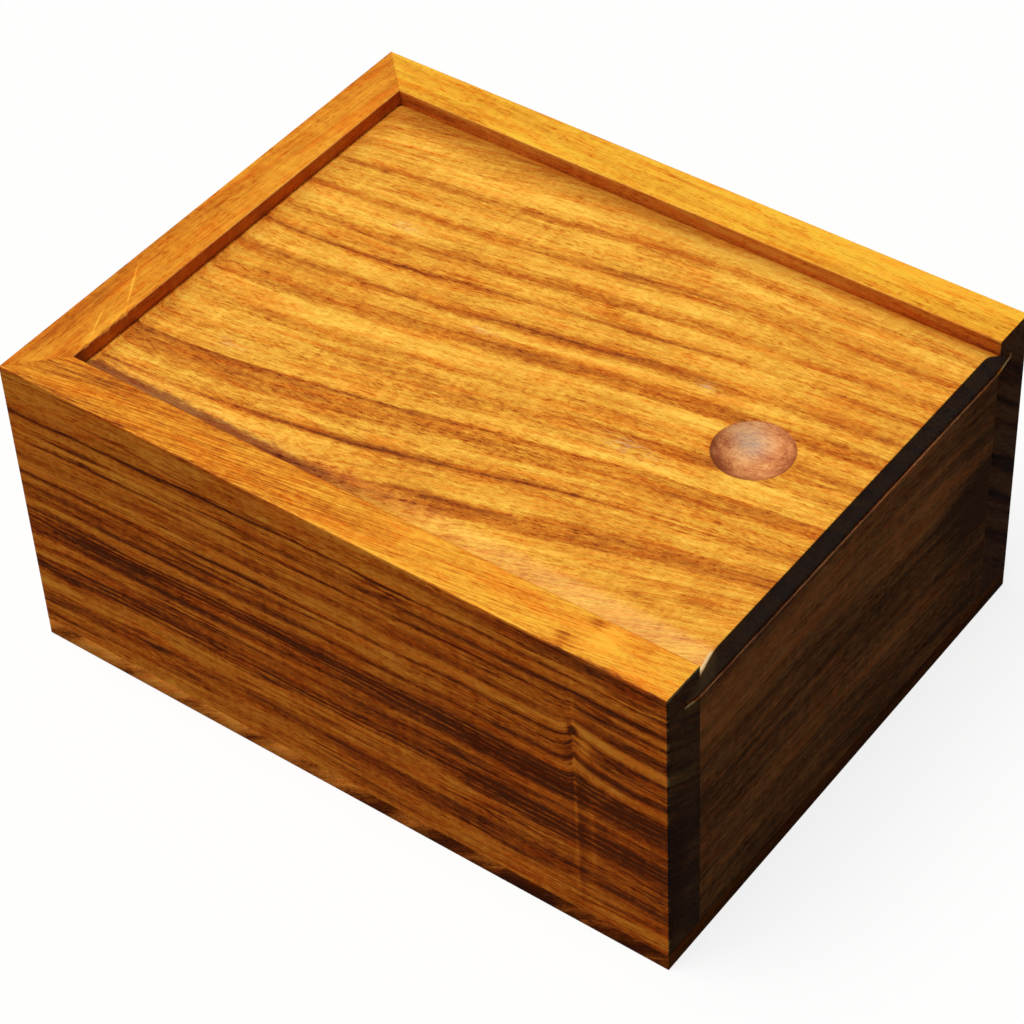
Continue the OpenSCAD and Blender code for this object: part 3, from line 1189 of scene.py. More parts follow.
@dataclass
class BaseBoard:
    """Thin board under the walls, with a sunk hole for the head of each pin."""

    timber: Timber
    ease: float = 0.15
    margin: float = 0.4
    step: float = 6.0
    arc: int = 4
    top_lines: int = 40
    pins_x: tuple[float, ...] = (-70.0, -70.0 / 3, 70.0 / 3, 70.0)
    pins_y: tuple[float, ...] = (-50.0, 0.0, 50.0)
    line_x: float = HALF_L - WALL / 2
    line_y: float = HALF_W - WALL / 2
    hole_radius: float = 1.65
    hole_depth: float = 1.7
    hole_lines: tuple[float, ...] = (0.0, 0.9, 1.55, 1.62, 1.65, 1.72, 1.95, 2.6, 3.6)
    hole_circle: float = 2.2

    def pin_places(self) -> list[tuple[float, float]]:
        """Place the pins along both sides and both ends.

        Returns:
            Their middles, as x and y.
        """
        sides = [(x, y) for x in self.pins_x for y in (-self.line_y, self.line_y)]
        ends = [(x, y) for y in self.pins_y for x in (-self.line_x, self.line_x)]
        return sides + ends

    def outline(self) -> tuple[np.ndarray, np.ndarray, int]:
        """Go round the board's section: the underside, an edge, the top, an edge.

        Returns:
            The points' places along Y and Z, and the count of those on the underside.
        """
        rim = self.ease
        inner = HALF_W - self.margin
        lines = (*self.pins_y, -self.line_y, self.line_y)
        under = stations(-inner, inner, self.step, lines, np.array(self.hole_lines))
        top = np.linspace(inner, -inner, self.top_lines)
        turn = np.linspace(0.0, np.pi / 2, self.arc)
        side_y = HALF_W - rim + rim * np.concatenate([np.sin(turn), np.cos(turn)])
        side_z = np.concatenate([rim - rim * np.cos(turn), BOTTOM - rim + rim * np.sin(turn)])
        y = np.concatenate([under, side_y, top, -side_y[::-1]])
        z = np.concatenate([0 * under, side_z, 0 * top + BOTTOM, side_z[::-1]])
        return y, z, len(under)

    def columns(self) -> tuple[np.ndarray, np.ndarray]:
        """Space the rings along X, rounded over at both ends.

        Returns:
            Each ring's place along X, and how far it is drawn in.
        """
        inner = HALF_L - self.margin
        lines = (*self.pins_x, -self.line_x, self.line_x)
        x = stations(-inner, inner, self.step, lines, np.array(self.hole_lines))
        turn = np.linspace(0.0, np.pi / 2, self.arc)
        end = HALF_L - self.ease + self.ease * np.cos(turn)
        drawn = self.ease - self.ease * np.sin(turn)
        return np.concatenate([-end, x, end[::-1]]), np.concatenate([drawn, 0 * x, drawn[::-1]])

    def build(self) -> bpy.types.Object:
        """Lay rings along X round the board, and sink the holes in its underside.

        Returns:
            The finished board.
        """
        y, z, under = self.outline()
        x, drawn = self.columns()
        inset = drawn[:, None]
        middle = BOTTOM / 2
        gx = np.repeat(x[:, None], len(y), axis=1)
        gy = np.sign(y)[None] * np.maximum(np.abs(y)[None] - inset, 0.0)
        gz = middle + np.sign(z - middle)[None] * (np.abs(z - middle)[None] - inset)
        lower = np.arange(len(y))[None] < under
        for place in self.pin_places():
            gx, gy = Patch(place, self.hole_circle, self.hole_lines[-1]).bend(gx, gy, lower)
            away = np.hypot(gx - place[0], gy - place[1])
            gz = np.where(lower & (away < self.hole_radius - 0.01), self.hole_depth, gz)
        points = np.stack([gx, gy, gz], axis=-1)
        outer = np.maximum(np.abs(gx) - HALF_L, np.abs(gy) - HALF_W)
        flat = np.minimum(np.abs(gz), np.abs(gz - BOTTOM))
        arris = np.exp(-(np.maximum(-outer, flat) / 0.8) ** 2) * 0.6
        piece = closed_piece("base_board", points, arris, 0 * arris, self.timber.material())
        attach(piece, "box")
        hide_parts("bottom_board")
        return piece


@dataclass
class SlidingLid:
    """The lid: a flat board whose sides and back fall away in a slope softened by use, with a thumb
    recess.
    """

    timber: Timber
    back: float = -INNER_L - LID_TONGUE
    front: float = HALF_L - 0.4
    half_w: float = INNER_W + LID_TONGUE
    slope_run: float = 9.9
    slope_drop: float = 6.5
    flat_w: float = half_w - slope_run
    flat_back: float = back + slope_run
    rise: float = (GROOVE_FLOOR - SEAT) / GROOVE_DEPTH
    soft: float = 1.3
    waver: float = 0.04
    recess_depth: float = 4.5
    tool_pitch: float = 1.3
    tool_depth: float = 0.018
    ease: float = 0.3
    torn: float = 0.6
    guard: float = 0.3
    arc: int = 4
    step_x: float = 2.0
    step_y: float = 2.4
    slope_lines: int = 22
    slope_margin: float = 4.0
    under_lines: int = 41
    under_half: float = INNER_W - 2.5
    recess_step: float = 0.26
    patch: Patch = Patch(RECESS_AT, RECESS_RADIUS + 1.0, RECESS_RADIUS + 7.0)
    rim_lines: tuple[float, ...] = (-0.5, -0.25, -0.08, 0.0, 0.1, 0.35, 0.9, 2.0, 4.0, 7.0)

    def top_height(self, x: np.ndarray, y: np.ndarray) -> np.ndarray:
        """Find the height of the upper surface.

        The lowest of the flat top, the side slopes and the back slope, eased where they meet,
        with a slight waver of the slopes' upper edges and of the flat; inside the recess's
        circle a ball's hollow sqrt(R^2 - r^2) - (R - depth) is taken off, with shallow turned
        ridges sin(2 pi r / pitch).

        Args:
            x: Places along X.
            y: Places along Y.

        Returns:
            The heights.
        """
        fall = self.slope_drop / self.slope_run
        side_edge = self.flat_w - self.waver * wander(x, 1.0 + np.sign(y))
        back_edge = self.flat_back + self.waver * wander(y, 4.0)
        side = LID_TOP - fall * (np.abs(y) - side_edge)
        back = LID_TOP - fall * (back_edge - x)
        flat = LID_TOP + self.waver * wander(x + 2 * y, 2.0) - self.waver
        height = soft_low(soft_low(flat, side, self.soft), back, self.soft)
        away = np.hypot(x - RECESS_AT[0], y - RECESS_AT[1])
        ball = (RECESS_RADIUS ** 2 + self.recess_depth ** 2) / (2 * self.recess_depth)
        hollow = np.sqrt(np.maximum(ball ** 2 - away ** 2, 0.0)) - (ball - self.recess_depth)
        ridges = self.tool_depth * np.sin(2 * np.pi * away / self.tool_pitch)
        cut = LID_TOP - hollow + ridges * np.clip(hollow, 0.0, 1.0)
        return np.where(hollow > -0.5, soft_low(height, cut, 0.12), height)

    def under_height(self, x: np.ndarray, y: np.ndarray) -> np.ndarray:
        """Height of the underside, which climbs where it runs on the groove's floor."""
        reach = np.maximum(np.abs(y) - INNER_W, -INNER_L - x)
        return LID_UNDER + self.rise * np.maximum(reach, 0.0)

    def close_lines(self) -> np.ndarray:
        """Distances of the close mesh lines from the recess's middle."""
        inner = np.arange(0.0, RECESS_RADIUS - 0.7, self.recess_step)
        return np.concatenate([inner, RECESS_RADIUS + np.array(self.rim_lines)])

    def outline(self) -> tuple[np.ndarray, np.ndarray]:
        """Go round the lid's section: the top from near to far, an edge, the underside, an edge.

        Returns:
            The points' places along Y, and their share of the way from the top to the underside.
        """
        slope = np.linspace(self.flat_w - self.slope_margin, self.half_w, self.slope_lines)
        inner = slope[0] - 0.6
        flat = stations(-inner, inner, self.step_y, RECESS_AT[1:], self.close_lines())
        upper = np.concatenate([-slope[::-1], flat, slope])
        tongue = np.array([self.half_w, INNER_W + 2.0, INNER_W + 0.2, INNER_W - 0.2])
        middle = np.linspace(self.under_half, -self.under_half, self.under_lines)
        lower = np.concatenate([tongue, middle, -tongue[::-1]])
        edge = np.array([0.3, 0.7])
        y = np.concatenate([upper, np.full(2, self.half_w), lower, np.full(2, -self.half_w)])
        return y, np.concatenate([0 * upper, edge, 0 * lower + 1, edge[::-1]])

    def columns(self) -> np.ndarray:
        """Space the rings along X between the rounded ends, closer on the slope and the recess.

        Returns:
            The rising places of the rings.
        """
        first = self.back + self.ease + self.guard
        last = self.front - self.ease - self.guard
        x = stations(first, last, self.step_x, RECESS_AT[:1], self.close_lines())
        slope = np.linspace(first, self.flat_back + self.slope_margin, self.slope_lines)
        return np.unique(np.concatenate([slope, x[x > slope[-1] + 0.5]]))

    def build(self) -> bpy.types.Object:
        """Lay rings along X round the lid, with rounded ends and a torn near front corner.

        Returns:
            The finished lid.
        """
        y, mix = self.outline()
        x = self.columns()
        on_top = (mix == 0)[None]
        broken = np.clip((-y - self.flat_w + 1.0) / 2.5, 0.0, 1.0)[None] * (mix < 0.5)
        ease = self.ease + (self.torn - self.ease) * broken
        angle = np.linspace(np.pi / 2, 0.0, self.arc)[:, None]
        pull = 1 - np.sin(angle)
        inset = 1 - np.cos(angle)
        body = np.repeat(x[:, None], len(y), axis=1)
        crowd = 0.01 * (np.arange(len(x))[:, None] - len(x))
        body = np.minimum(body, self.front - ease - self.guard + crowd)
        head = self.back + self.ease * pull + 0 * ease
        tail = (self.front - ease * pull)[::-1]
        gx = np.concatenate([head, body, tail])
        drawn = np.concatenate([self.ease * inset + 0 * ease, 0 * body, (ease * inset)[::-1]])
        gx, gy = self.patch.bend(gx, np.repeat(y[None], len(gx), axis=0), on_top)
        high = self.top_height(gx, gy) - drawn
        low = self.under_height(gx, gy) + drawn
        gz = high * (1 - mix) + low * mix
        gy = gy * (1 - np.minimum(drawn, self.ease) / self.half_w)
        away = np.hypot(gx - RECESS_AT[0], gy - RECESS_AT[1])
        rim = np.exp(-((away - RECESS_RADIUS) / 0.35) ** 2) * 0.5
        # The nose is the lid's front top edge, which the material paints paler, partly as rubbing and
        # partly as a painted highlight.
        nose = np.exp(-(np.maximum(self.front - gx, LID_TOP - gz) / 0.5) ** 2) * 0.4
        arris = np.maximum(rim, nose) * on_top
        raw = broken * (gx > self.front - 1.3 * self.torn) * (gx < self.front - 1e-4)
        points = np.stack([gx, gy, gz], axis=-1)
        piece = closed_piece("sliding_lid", points, arris, raw, self.timber.material())
        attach(piece, "lid")
        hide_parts("lid")
        return piece


WALL_PALETTE: tuple[Colour, ...] = (
    (0.92, 0.44, 0.046),
    (0.76, 0.28, 0.026),
    (0.54, 0.15, 0.014),
    (0.29, 0.075, 0.013),
    (0.115, 0.035, 0.010),
)
GOLD_PALETTE: tuple[Colour, ...] = (
    (0.97, 0.55, 0.085),
    (0.80, 0.36, 0.042),
    (0.58, 0.18, 0.019),
    (0.37, 0.09, 0.013),
    (0.17, 0.037, 0.008),
)
BROWN_PALETTE: tuple[Colour, ...] = (
    (0.88, 0.34, 0.115),
    (0.65, 0.255, 0.088),
    (0.43, 0.175, 0.066),
    (0.25, 0.104, 0.042),
    (0.12, 0.052, 0.024),
)
PALE_PALETTE: tuple[Colour, ...] = (
    (0.80, 0.64, 0.42),
    (0.72, 0.54, 0.33),
    (0.60, 0.42, 0.24),
    (0.45, 0.29, 0.15),
)

LID_TIMBER = LidTimber(
    name="golden striped lid wood",
    lie=Lie.LID,
    palette=GOLD_PALETTE,
    drift=Drift(lean=0.15, lean_change=-0.001, bow=0.0001, bow_change=-7e-9, sway=1.8),
    tilt=-1.2,
    streaks={
        -96: 0.2, -82: 0.12, -74: 0.26, -66: 0.14, -63: 0.45, -61: 0.84, -59.4: 0.78, -57.8: 0.97,
        -56.4: 0.62, -53: 0.06, -49: 0.26, -47.4: 0.58, -46.4: 0.94, -45.4: 0.56, -43: 0.3,
        -40: 0.2, -38: 0.52, -36: 0.72, -34: 0.68, -32.6: 0.76, -31.8: 0.92, -30.9: 0.2,
        -28.5: 0.04, -26: 0.42, -22: 0.58, -17.5: 0.32, -15: 0.6, -12: 0.3, -8: 0.1, -4.6: 0.78,
        -2: 0.52, 0.6: 0.06, 3: 0.38, 5: 0.86, 7: 0.32, 10: 0.06, 12.8: 0.3, 14.5: 0.88, 16.2: 0.24,
        20: 0.24, 22: 0.7, 24.5: 0.32, 27: 0.18, 31: 0.34, 33.3: 0.7, 35.5: 0.34, 38: 0.44,
        41.5: 0.18, 43: 0.3, 45.5: 0.74, 48.5: 0.22, 51: 0.03, 55: 0.26, 60: 0.4, 72: 0.32,
    },
    marks=(
        Mark((85, -47, 89), (4.5, 2.5, 5), 0.22),
        Mark((74, -53, 89), (8, 2.0, 5), 0.16),
        Mark((-50, 44, 89), (22, 4, 9), -0.2),
        Mark((-16, 9, 89), (16, 8, 9), 0.13),
        Mark((20, 20, 89), (9, 4, 9), 0.16),
        Mark((68, -13, 89), (24, 4, 9), -0.3, turn=16.0),
        Mark((-50, -32, 89), (22, 7, 9), -0.16),
        Mark((60, 52, 89), (36, 4.5, 9), -0.26),
        Mark((48, -4, 89), (9, 8, 9), -0.17),
        Mark((-2, 44, 89), (10, 4, 9), -0.14),
        Mark((-64, -8, 89), (12, 6, 9), 0.12),
    ),
    flecks=(-50, -18, 0.3),
    depth=0.64,
    ease=0.28,
    lines=0.64,
    clouds=0.2,
    lift=0.17,
    end_shade=(0.088, 0.075, 0.115),
    face_painted_shade=WHITE,
    inner_at=FAR_AWAY,
    gloss=0.1,
)
NEAR_TIMBER = Timber(
    name="striped near wall wood",
    lie=Lie.NEAR,
    palette=WALL_PALETTE,
    drift=Drift(lean=0.03, bow=-0.0001),
    tilt=0.55,
    knot=Knot(along=70.2, up=61.0, lift=4.2, width=2.0, tail=6.5, height=11.0),
    streaks={
        0: 0.3, 8: 0.24, 12.5: 0.36, 15: 0.5, 17.5: 0.6, 20: 0.42, 22: 0.18, 26: 0.2, 28: 0.52,
        28.8: 0.86, 29.5: 0.48, 30.3: 0.95, 31: 0.52, 31.9: 0.84, 32.8: 0.44, 34: 0.28, 36.3: 0.66,
        38: 0.12, 41: 0.74, 42.6: 0.5, 43.6: 0.88, 44.3: 0.52, 45.1: 0.97, 45.8: 0.54, 46.6: 0.92,
        47.3: 0.5, 48.1: 0.84, 49: 0.4, 50.6: 0.1, 53: 0.74, 55: 0.38, 57: 0.7, 59: 0.44,
        60.6: 0.86, 61.4: 0.34, 63.2: 0.08, 66: 0.66, 68: 0.4, 70.8: 0.38, 72: 0.9, 73: 0.4,
        74.5: 0.34, 76: 0.8, 77: 0.32, 79.5: 0.36, 80.7: 0.9, 81.5: 0.26, 83: 0.1, 85: 0.44,
        86.6: 0.62, 88: 0.3, 91: 0.2, 93: 0.66, 95: 0.2, 97.5: 0.66, 100: 0.25,
    },
    marks=(
        Mark((70.0, -75, 66.0), (1.2, 5, 1.4), 1.2),
        Mark((69.6, -75, 58.5), (1.8, 5, 6.0), 0.22),
        Mark((73.0, -75, 62.0), (1.9, 5, 3.4), -0.4),
        Mark((70.3, -75, 47.0), (0.5, 5, 27.0), -0.26),
        Mark((-20, -75, 12), (90, 5, 14), 0.04),
        Mark((0, -75, 66), (200, 5, 14), -0.14),
        Mark((-15, -75, 45), (110, 5, 6), 0.16),
        Mark((0, -75, 29), (120, 5, 8), 0.12),
        Mark((92, -75, 32), (26, 5, 22), 0.16),
        Mark((71.6, -75, 27.0), (0.9, 5, 18.0), 0.2),
        Mark((74.7, -75, 32.0), (0.9, 5, 15.0), -0.2),
        Mark((76.0, -75, 46.0), (2.5, 5, 1.8), -0.35),
        Mark((-52.8, -75, 6.0), (0.8, 3, 0.9), -0.7),
        Mark((70.2, -64.6, 90), (2.2, 1.4, 3), 0.55),
        Mark((74.3, -67.4, 90), (4.2, 3.2, 3), -0.4),
        Mark((66.2, -71.8, 90), (2.4, 1.6, 3), 0.45),
    ),
    depth=1.0,
    saw=0.45,
    lines=1.1,
    mottle=0.36,
    veins=0.45,
    borders=0.16,
    calm=0.78,
    fade_along=0.0008,
    rim_lines=0.75,
    rim_lean=0.14,
    rim_lift=-0.2,
    rim_fade=-0.0024,
    face_painted_shade=(1.0, 0.77, 0.86),
    # Darker end grain, with its blue raised so that it greys: the greying is a painted reflection.
    end_shade=(0.46, 0.80, 3.8),
    lift=0.19,
)
FAR_TIMBER = Timber(
    name="golden far wall wood",
    lie=Lie.FAR,
    palette=WALL_PALETTE,
    drift=Drift(lean=-0.02, bow=0.00006),
    tilt=-0.95,
    streaks={
        0: 0.3, 6: 0.36, 9: 0.62, 10.5: 0.3, 14: 0.22, 17: 0.58, 18.2: 0.84, 19.6: 0.4, 23: 0.16,
        26.5: 0.66, 28: 0.36, 30: 0.74, 31.2: 0.92, 32.6: 0.46, 36: 0.12, 39: 0.56, 41: 0.82,
        42.4: 0.6, 43.8: 0.88, 45.2: 0.4, 48.5: 0.14, 51.5: 0.62, 53: 0.34, 56: 0.7, 57.2: 0.36,
        60: 0.24, 62.4: 0.78, 63.6: 0.34, 66: 0.2, 68: 0.5, 70: 0.55, 74: 0.72, 78: 0.34, 83: 0.42,
        86: 0.3, 90: 0.12, 92: 0.2, 94: 0.1, 97: 0.22,
    },
    depth=0.9,
    lines=0.75,
    mottle=0.15,
    fibres=0.12,
    show=1.0,
    rim_lines=0.2,
    inner_painted_shade=(0.86, 0.88, 1.15),
    edge_shade=(0.98, 1.08, 0.95),
    # The first mark darkens the far lip towards its front end; the second is painted light on its back
    # part, which the corner with the back wall shades.
    marks=(
        Mark((88, 62.5, 87.5), (34, 1.0, 2.2), 0.22),
        Mark((-58, 62.5, 87.5), (32, 1.0, 3.0), -0.26),
    ),
    lift=0.02,
)
BACK_TIMBER = Timber(
    name="orange back wall wood",
    lie=Lie.BACK,
    palette=WALL_PALETTE,
    drift=Drift(lean=0.04, bow=0.0004),
    tilt=0.6,
    streaks={
        0: 0.3, 5: 0.4, 8: 0.7, 9.4: 0.34, 13: 0.2, 16.5: 0.56, 18: 0.86, 19.5: 0.5, 21: 0.74,
        22.5: 0.3, 26: 0.14, 29: 0.62, 30.4: 0.36, 33.5: 0.72, 34.8: 0.92, 36.4: 0.42, 40: 0.16,
        43: 0.5, 45: 0.78, 46.4: 0.36, 50: 0.22, 52.6: 0.66, 54: 0.88, 55.2: 0.6, 56.6: 0.84,
        58: 0.34, 62: 0.12, 65: 0.6, 66.4: 0.34, 69.5: 0.7, 71: 0.3, 74: 0.2, 76.5: 0.72, 78: 0.36,
        82: 0.26, 84: 0.52, 88: 0.36, 90.5: 0.42, 92: 0.62, 93.2: 0.25, 95: 0.14, 97: 0.24,
        100: 0.2,
    },
    calm=0.4,
    lines=0.5,
    mottle=0.18,
    fibres=0.12,
    show=1.0,
    rim_lines=0.28,
    rim_lean=0.02,
    lift=0.17,
    inner_painted_shade=(0.95, 1.08, 2.6),
    marks=(
        Mark((-91.0, -54.0, 90), (3.5, 15.0, 1.5), 0.14),
        Mark((-83.5, -47.0, 90), (1.0, 6.0, 1.2), -0.35),
        Mark((-83.5, -56.0, 90), (0.9, 3.0, 1.2), -0.35),
        Mark((-88.6, -34.5, 90), (0.2, 6.5, 0.8), -0.6, turn=31.0),
        Mark((-86.2, -50.0, 90), (0.17, 4.0, 0.8), -0.5, turn=24.0),
    ),
)
FRONT_TIMBER = Timber(
    name="brown front wall wood",
    lie=Lie.FRONT,
    palette=BROWN_PALETTE,
    drift=Drift(lean=-0.04, bow=-0.0006),
    tilt=0.4,
    streaks={
        0: 0.75, 9: 0.7, 15: 0.6, 22: 0.72, 28: 0.66, 33: 0.56, 38: 0.62, 44: 0.8, 50: 0.7,
        56: 0.56, 60: 0.36, 66: 0.28, 72: 0.36, 77: 0.42, 82: 0.5, 90: 0.4,
    },
    marks=(
        Mark((95, 48, 50), (9, 18, 3), 0.25),
        Mark((95, -38, 68), (9, 40, 6), -0.2),
        Mark((95, 30, 62), (9, 25, 5), -0.12),
        Mark((95, 10, 12), (9, 60, 6), 0.15),
        # Painted shade: this mark darkens the far end of the front wall.
        Mark((95, 60, 45), (9, 16, 60), 0.4),
    ),
    depth=0.7,
    lines=1.1,
    mottle=0.5,
    fibres=0.4,
    clouds=0.4,
    lift=0.24,
    face_painted_shade=WHITE,
    inner_at=FAR_AWAY,
    # Reddish top edges of the front wall: partly a painted highlight, partly rubbing.
    edge_wear_and_highlight_colour=(0.46, 0.19, 0.11),
    edge_wear_and_highlight=0.4,
)
BASE_TIMBER = Timber(
    name="brown base wood",
    lie=Lie.BASE,
    palette=WALL_PALETTE,
    drift=Drift(lean=0.05),
    tilt=-1.6,
    streaks={
        -100: 0.1, -90: 0.6, -84: 0.2, -76: 0.2, -66: 0.55, -62: 0.2, -54: 0.15, -48: 0.6,
        -42: 0.25, -34: 0.2, -28: 0.65, -22: 0.3, -8: 0.6, 0: 0.4, 10: 0.75, 22: 0.5, 30: 0.85,
        44: 0.6, 56: 0.88, 68: 0.65, 80: 0.85, 100: 0.7,
    },
    depth=1.0,
    lines=0.4,
    fibres=0.2,
    mottle=0.2,
    clouds=0.2,
    edge_shade=(0.5, 0.5, 0.7),
    end_shade=(0.7, 0.54, 0.85),
)
JOINT_TIMBER = Timber(
    name="bare pale joint wood",
    lie=Lie.NEAR,
    palette=PALE_PALETTE,
    tilt=0.4,
    streaks={0: 0.3, 20: 0.5, 40: 0.25, 60: 0.5, 90: 0.3},
    lines=0.25,
    end_shade=(0.75, 0.7, 0.65),
    roughness=0.65,
)


@dataclass
class BoxCase:
    """The fixed case: four walls on the base board, and the joints inside them."""

    foot: float = 0.15
    hidden: tuple[str, ...] = ("near_spline", "far_spline", "near_dowels", "far_dowels")
    chips: tuple[Triple, ...] = (
        (-40.5, 2.0, 0.5), (-44.0, 3.0, 0.9), (-47.2, 1.2, 0.6),
        (-50.5, 2.6, 1.1), (-53.0, 1.0, 0.7), (-57.5, 2.4, 0.8),
    )

    def grooved(self) -> tuple[Corner, ...]:
        """Draw the section of a side or back wall.

        Returns:
            Its corners, anticlockwise from the outer foot.
        """
        end = WALL - GROOVE_DEPTH
        return (
            Corner(0.0, BOTTOM, self.foot),
            Corner(WALL, BOTTOM, self.foot),
            Corner(WALL, SEAT, 0.25),
            Corner(end, GROOVE_FLOOR, 0.2),
            Corner(end, GROOVE_ROOF, 0.2),
            Corner(WALL, LIP_LOW, 0.08),
            Corner(WALL, HEIGHT, 0.35, True),
            Corner(0.0, HEIGHT, 0.45, True),
        )

    def low(self) -> tuple[Corner, ...]:
        """Draw the section of the front wall, which stops under the lid.

        Returns:
            Its corners, anticlockwise from the outer foot.
        """
        return (
            Corner(0.0, BOTTOM, self.foot),
            Corner(WALL, BOTTOM, self.foot),
            Corner(WALL, SEAT, 0.4, True),
            Corner(0.0, SEAT, 0.15, True),
        )

    def walls(self) -> list[Wall]:
        """Lay out the walls: the sides mitred at the back, the back at both ends, the front square.

        Returns:
            The four walls, each between its own end planes.
        """
        section_high = self.grooved()
        sides = (section_high, lambda d: d - HALF_L, lambda d: 0 * d + HALF_L, 2 * HALF_L)
        back = (section_high, lambda d: d - HALF_W, lambda d: HALF_W - d, 2 * HALF_W, 0.08)
        front = (self.low(), lambda d: 0 * d - INNER_W, lambda d: 0 * d + INNER_W, 2 * INNER_W, 0.08)
        return [
            Wall("near_wall", "near_side", Lie.NEAR, NEAR_TIMBER, *sides),
            Wall("far_wall", "far_side", Lie.FAR, FAR_TIMBER, *sides),
            Wall("back_wall", "back_end", Lie.BACK, BACK_TIMBER, *back, step=0.4, chips=self.chips),
            Wall("front_wall", "front_end", Lie.FRONT, FRONT_TIMBER, *front),
        ]

    def build(self) -> list[bpy.types.Object]:
        """Make the walls and the base board."""
        return [wall.build() for wall in self.walls()] + [BaseBoard(BASE_TIMBER).build()]

    def dress(self) -> None:
        """Give the joints and the pins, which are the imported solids, their materials in every slot."""
        joint = JOINT_TIMBER.material()
        dresses = {name: joint for name in self.hidden}
        dresses["bottom_pins"] = Steel().material()
        for name, dress in dresses.items():
            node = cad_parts[name]
            if not node.material_slots:
                node.data.materials.append(dress)
            for slot in node.material_slots:
                slot.material = dress


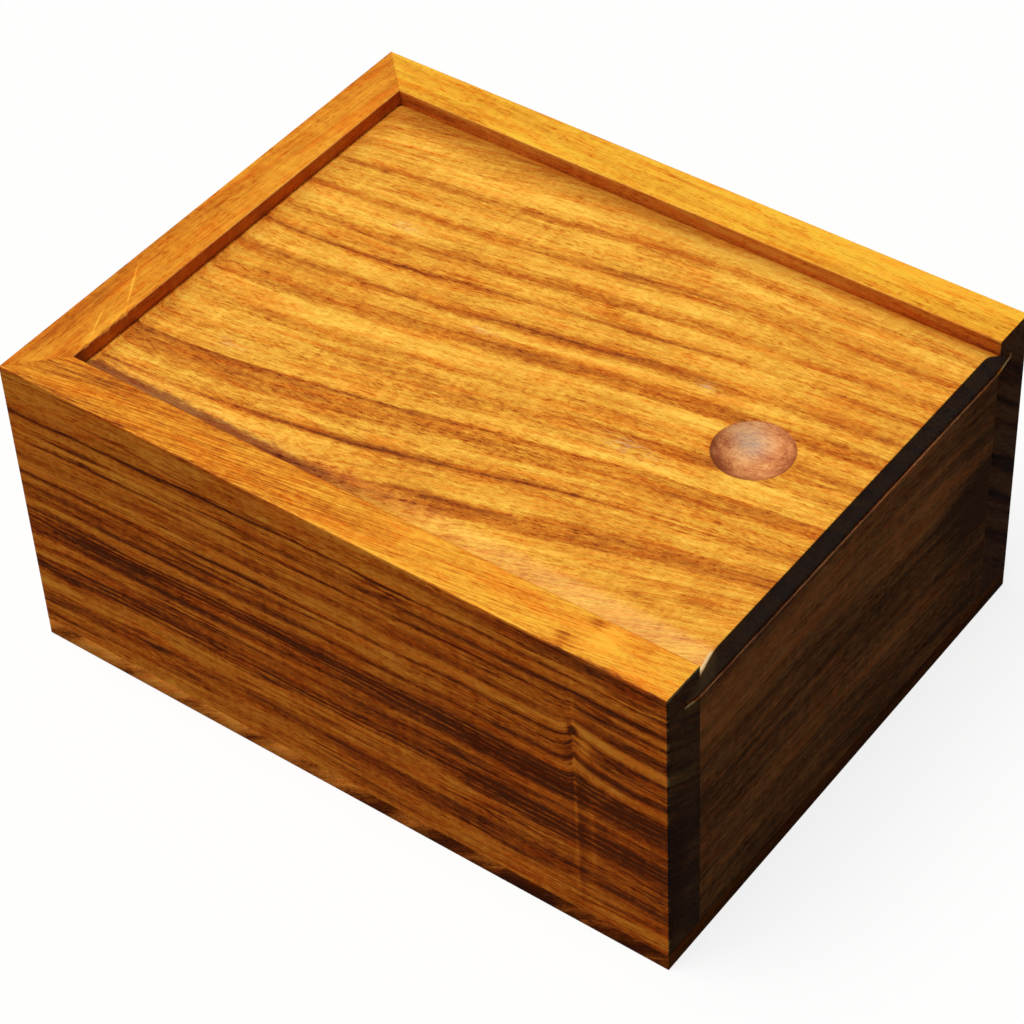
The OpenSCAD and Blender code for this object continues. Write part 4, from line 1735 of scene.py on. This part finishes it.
@dataclass
class Studio:
    """Pale floor, soft light from above and behind the left shoulder, and the camera."""

    azimuth: float = 38.574
    elevation: float = 43.784
    roll: float = -3.097
    offset: tuple[float, float] = (0.0038, -0.0244)
    distance: float = 0.8167
    focal_px: float = 3214.6
    image_px: float = 1024.0
    sensor: float = 36.0
    near_limit: float = 0.01
    key_from: Triple = (-0.18, -0.258, 0.94)
    key_strength: float = 3.45
    key_angle: float = 44.0
    key_colour: Colour = (1.0, 0.985, 0.96)
    ambient: float = 0.04
    ambient_colour: Colour = (1.0, 0.97, 0.93)
    floor_bounce: Colour = (0.07, 0.06, 0.05)
    floor_pale: Colour = (0.9, 0.9, 0.9)
    floor_glow: float = 0.82
    floor_radius: float = 6.0
    floor_drop: float = 0.0001

    def camera(self) -> None:
        """Stand the camera where the corners of the box meet their places in the picture.

        The camera looks along its back vector from the given azimuth and elevation, turned by
        the roll about that line, and is shifted sideways and up by the offset.
        """
        a, e, r = (math.radians(v) for v in (self.azimuth, self.elevation, self.roll))
        back = Vector((math.sin(a) * math.cos(e), -math.cos(a) * math.cos(e), math.sin(e)))
        level = Vector((math.cos(a), math.sin(a), 0.0))
        high = back.cross(level)
        right = level * math.cos(r) + high * math.sin(r)
        up = high * math.cos(r) - level * math.sin(r)
        at = back * self.distance - right * self.offset[0] - up * self.offset[1]
        data = bpy.data.cameras.new("camera")
        data.sensor_width = self.sensor
        data.lens = self.focal_px / self.image_px * self.sensor
        data.clip_start = self.near_limit
        eye = new_object("camera", data)
        eye.matrix_world = Matrix.Translation(at) @ Matrix((right, up, back)).transposed().to_4x4()
        bpy.context.scene.camera = eye

    @staticmethod
    def seen(shader: Shader) -> Wire:
        """1 for rays that show the background: from the camera, a reflection or glass."""
        kinds = ("Is Camera Ray", "Is Glossy Ray", "Is Transmission Ray")
        return shader.most(*(shader.node("ShaderNodeLightPath", pick=kind) for kind in kinds))

    def world(self) -> None:
        """White where it is seen, and a weak even light otherwise."""
        made = bpy.data.worlds.new("studio")
        made.use_nodes = True
        shader = Shader(made.node_tree)
        lights = []
        for colour, strength in ((self.ambient_colour, self.ambient), (WHITE, 1.0)):
            sockets = {"Color": (*colour, 1.0), "Strength": strength}
            lights.append(shader.node("ShaderNodeBackground", None, sockets))
        sockets = {0: self.seen(shader), 1: lights[0], 2: lights[1]}
        mixed = shader.node("ShaderNodeMixShader", None, sockets)
        shader.node("ShaderNodeOutputWorld", None, {"Surface": mixed})
        bpy.context.scene.world = made

    def floor_paint(self, shader: Shader) -> Wire:
        """Mix the floor: dark to the light that bounces off it, pale and half glowing where seen.

        Args:
            shader: Tree to add to.

        Returns:
            The surface.
        """
        plain = shader.node("ShaderNodeBsdfDiffuse", None, {"Color": (*self.floor_bounce, 1.0)})
        pale = shader.node("ShaderNodeBsdfDiffuse", None, {"Color": (*self.floor_pale, 1.0)})
        glow = shader.node("ShaderNodeEmission", None, {"Color": (*WHITE, 1.0), "Strength": 1.0})
        shown = shader.node("ShaderNodeMixShader", None, {0: self.floor_glow, 1: pale, 2: glow})
        return shader.node("ShaderNodeMixShader", None, {0: self.seen(shader), 1: plain, 2: shown})

    def floor(self) -> None:
        """Lay a wide disc under the box, which keeps the box's shadow."""
        turn = np.linspace(0.0, 2 * np.pi, 96, endpoint=False)
        rim = np.stack([np.cos(turn), np.sin(turn), 0 * turn], axis=1) * self.floor_radius
        rim[:, 2] = -self.floor_drop
        mesh = bpy.data.meshes.new("floor")
        mesh.from_pydata(rim.tolist(), [], [list(range(len(rim)))])
        mesh.materials.append(new_material("pale floor", self.floor_paint))
        new_object("floor", mesh)

    def key(self) -> None:
        """Hang one broad soft lamp."""
        data = bpy.data.lights.new("key", "SUN")
        data.energy = self.key_strength
        data.angle = math.radians(self.key_angle)
        data.color = self.key_colour
        lamp = new_object("key", data)
        lamp.rotation_euler = Vector(self.key_from).to_track_quat("Z", "Y").to_euler()

    def build(self) -> None:
        """Set up the camera, floor, world and lamp."""
        self.camera()
        self.world()
        self.floor()
        self.key()
        bpy.context.scene.view_settings.view_transform = "Standard"


def report(piece: bpy.types.Object) -> None:
    """Log a piece's size and count of faces.

    Args:
        piece: The piece.
    """
    points = np.empty(len(piece.data.vertices) * 3, np.float32)
    piece.data.vertices.foreach_get("co", points)
    points = points.reshape(-1, 3) / MM
    piece.data.calc_loop_triangles()
    low, high = points.min(axis=0).round(2), points.max(axis=0).round(2)
    LOG.info("%s: %d triangles, %s to %s mm", piece.name, len(piece.data.loop_triangles), low, high)


def main() -> None:
    """Build the studio, the case and the lid, and log the sizes of the pieces."""
    logging.basicConfig(level=logging.INFO, format="%(name)s %(message)s")
    Studio().build()
    case = BoxCase()
    for piece in case.build():
        report(piece)
    case.dress()
    report(SlidingLid(LID_TIMBER).build())
    bpy.context.view_layer.update()


if __name__ == "__main__":
    main()
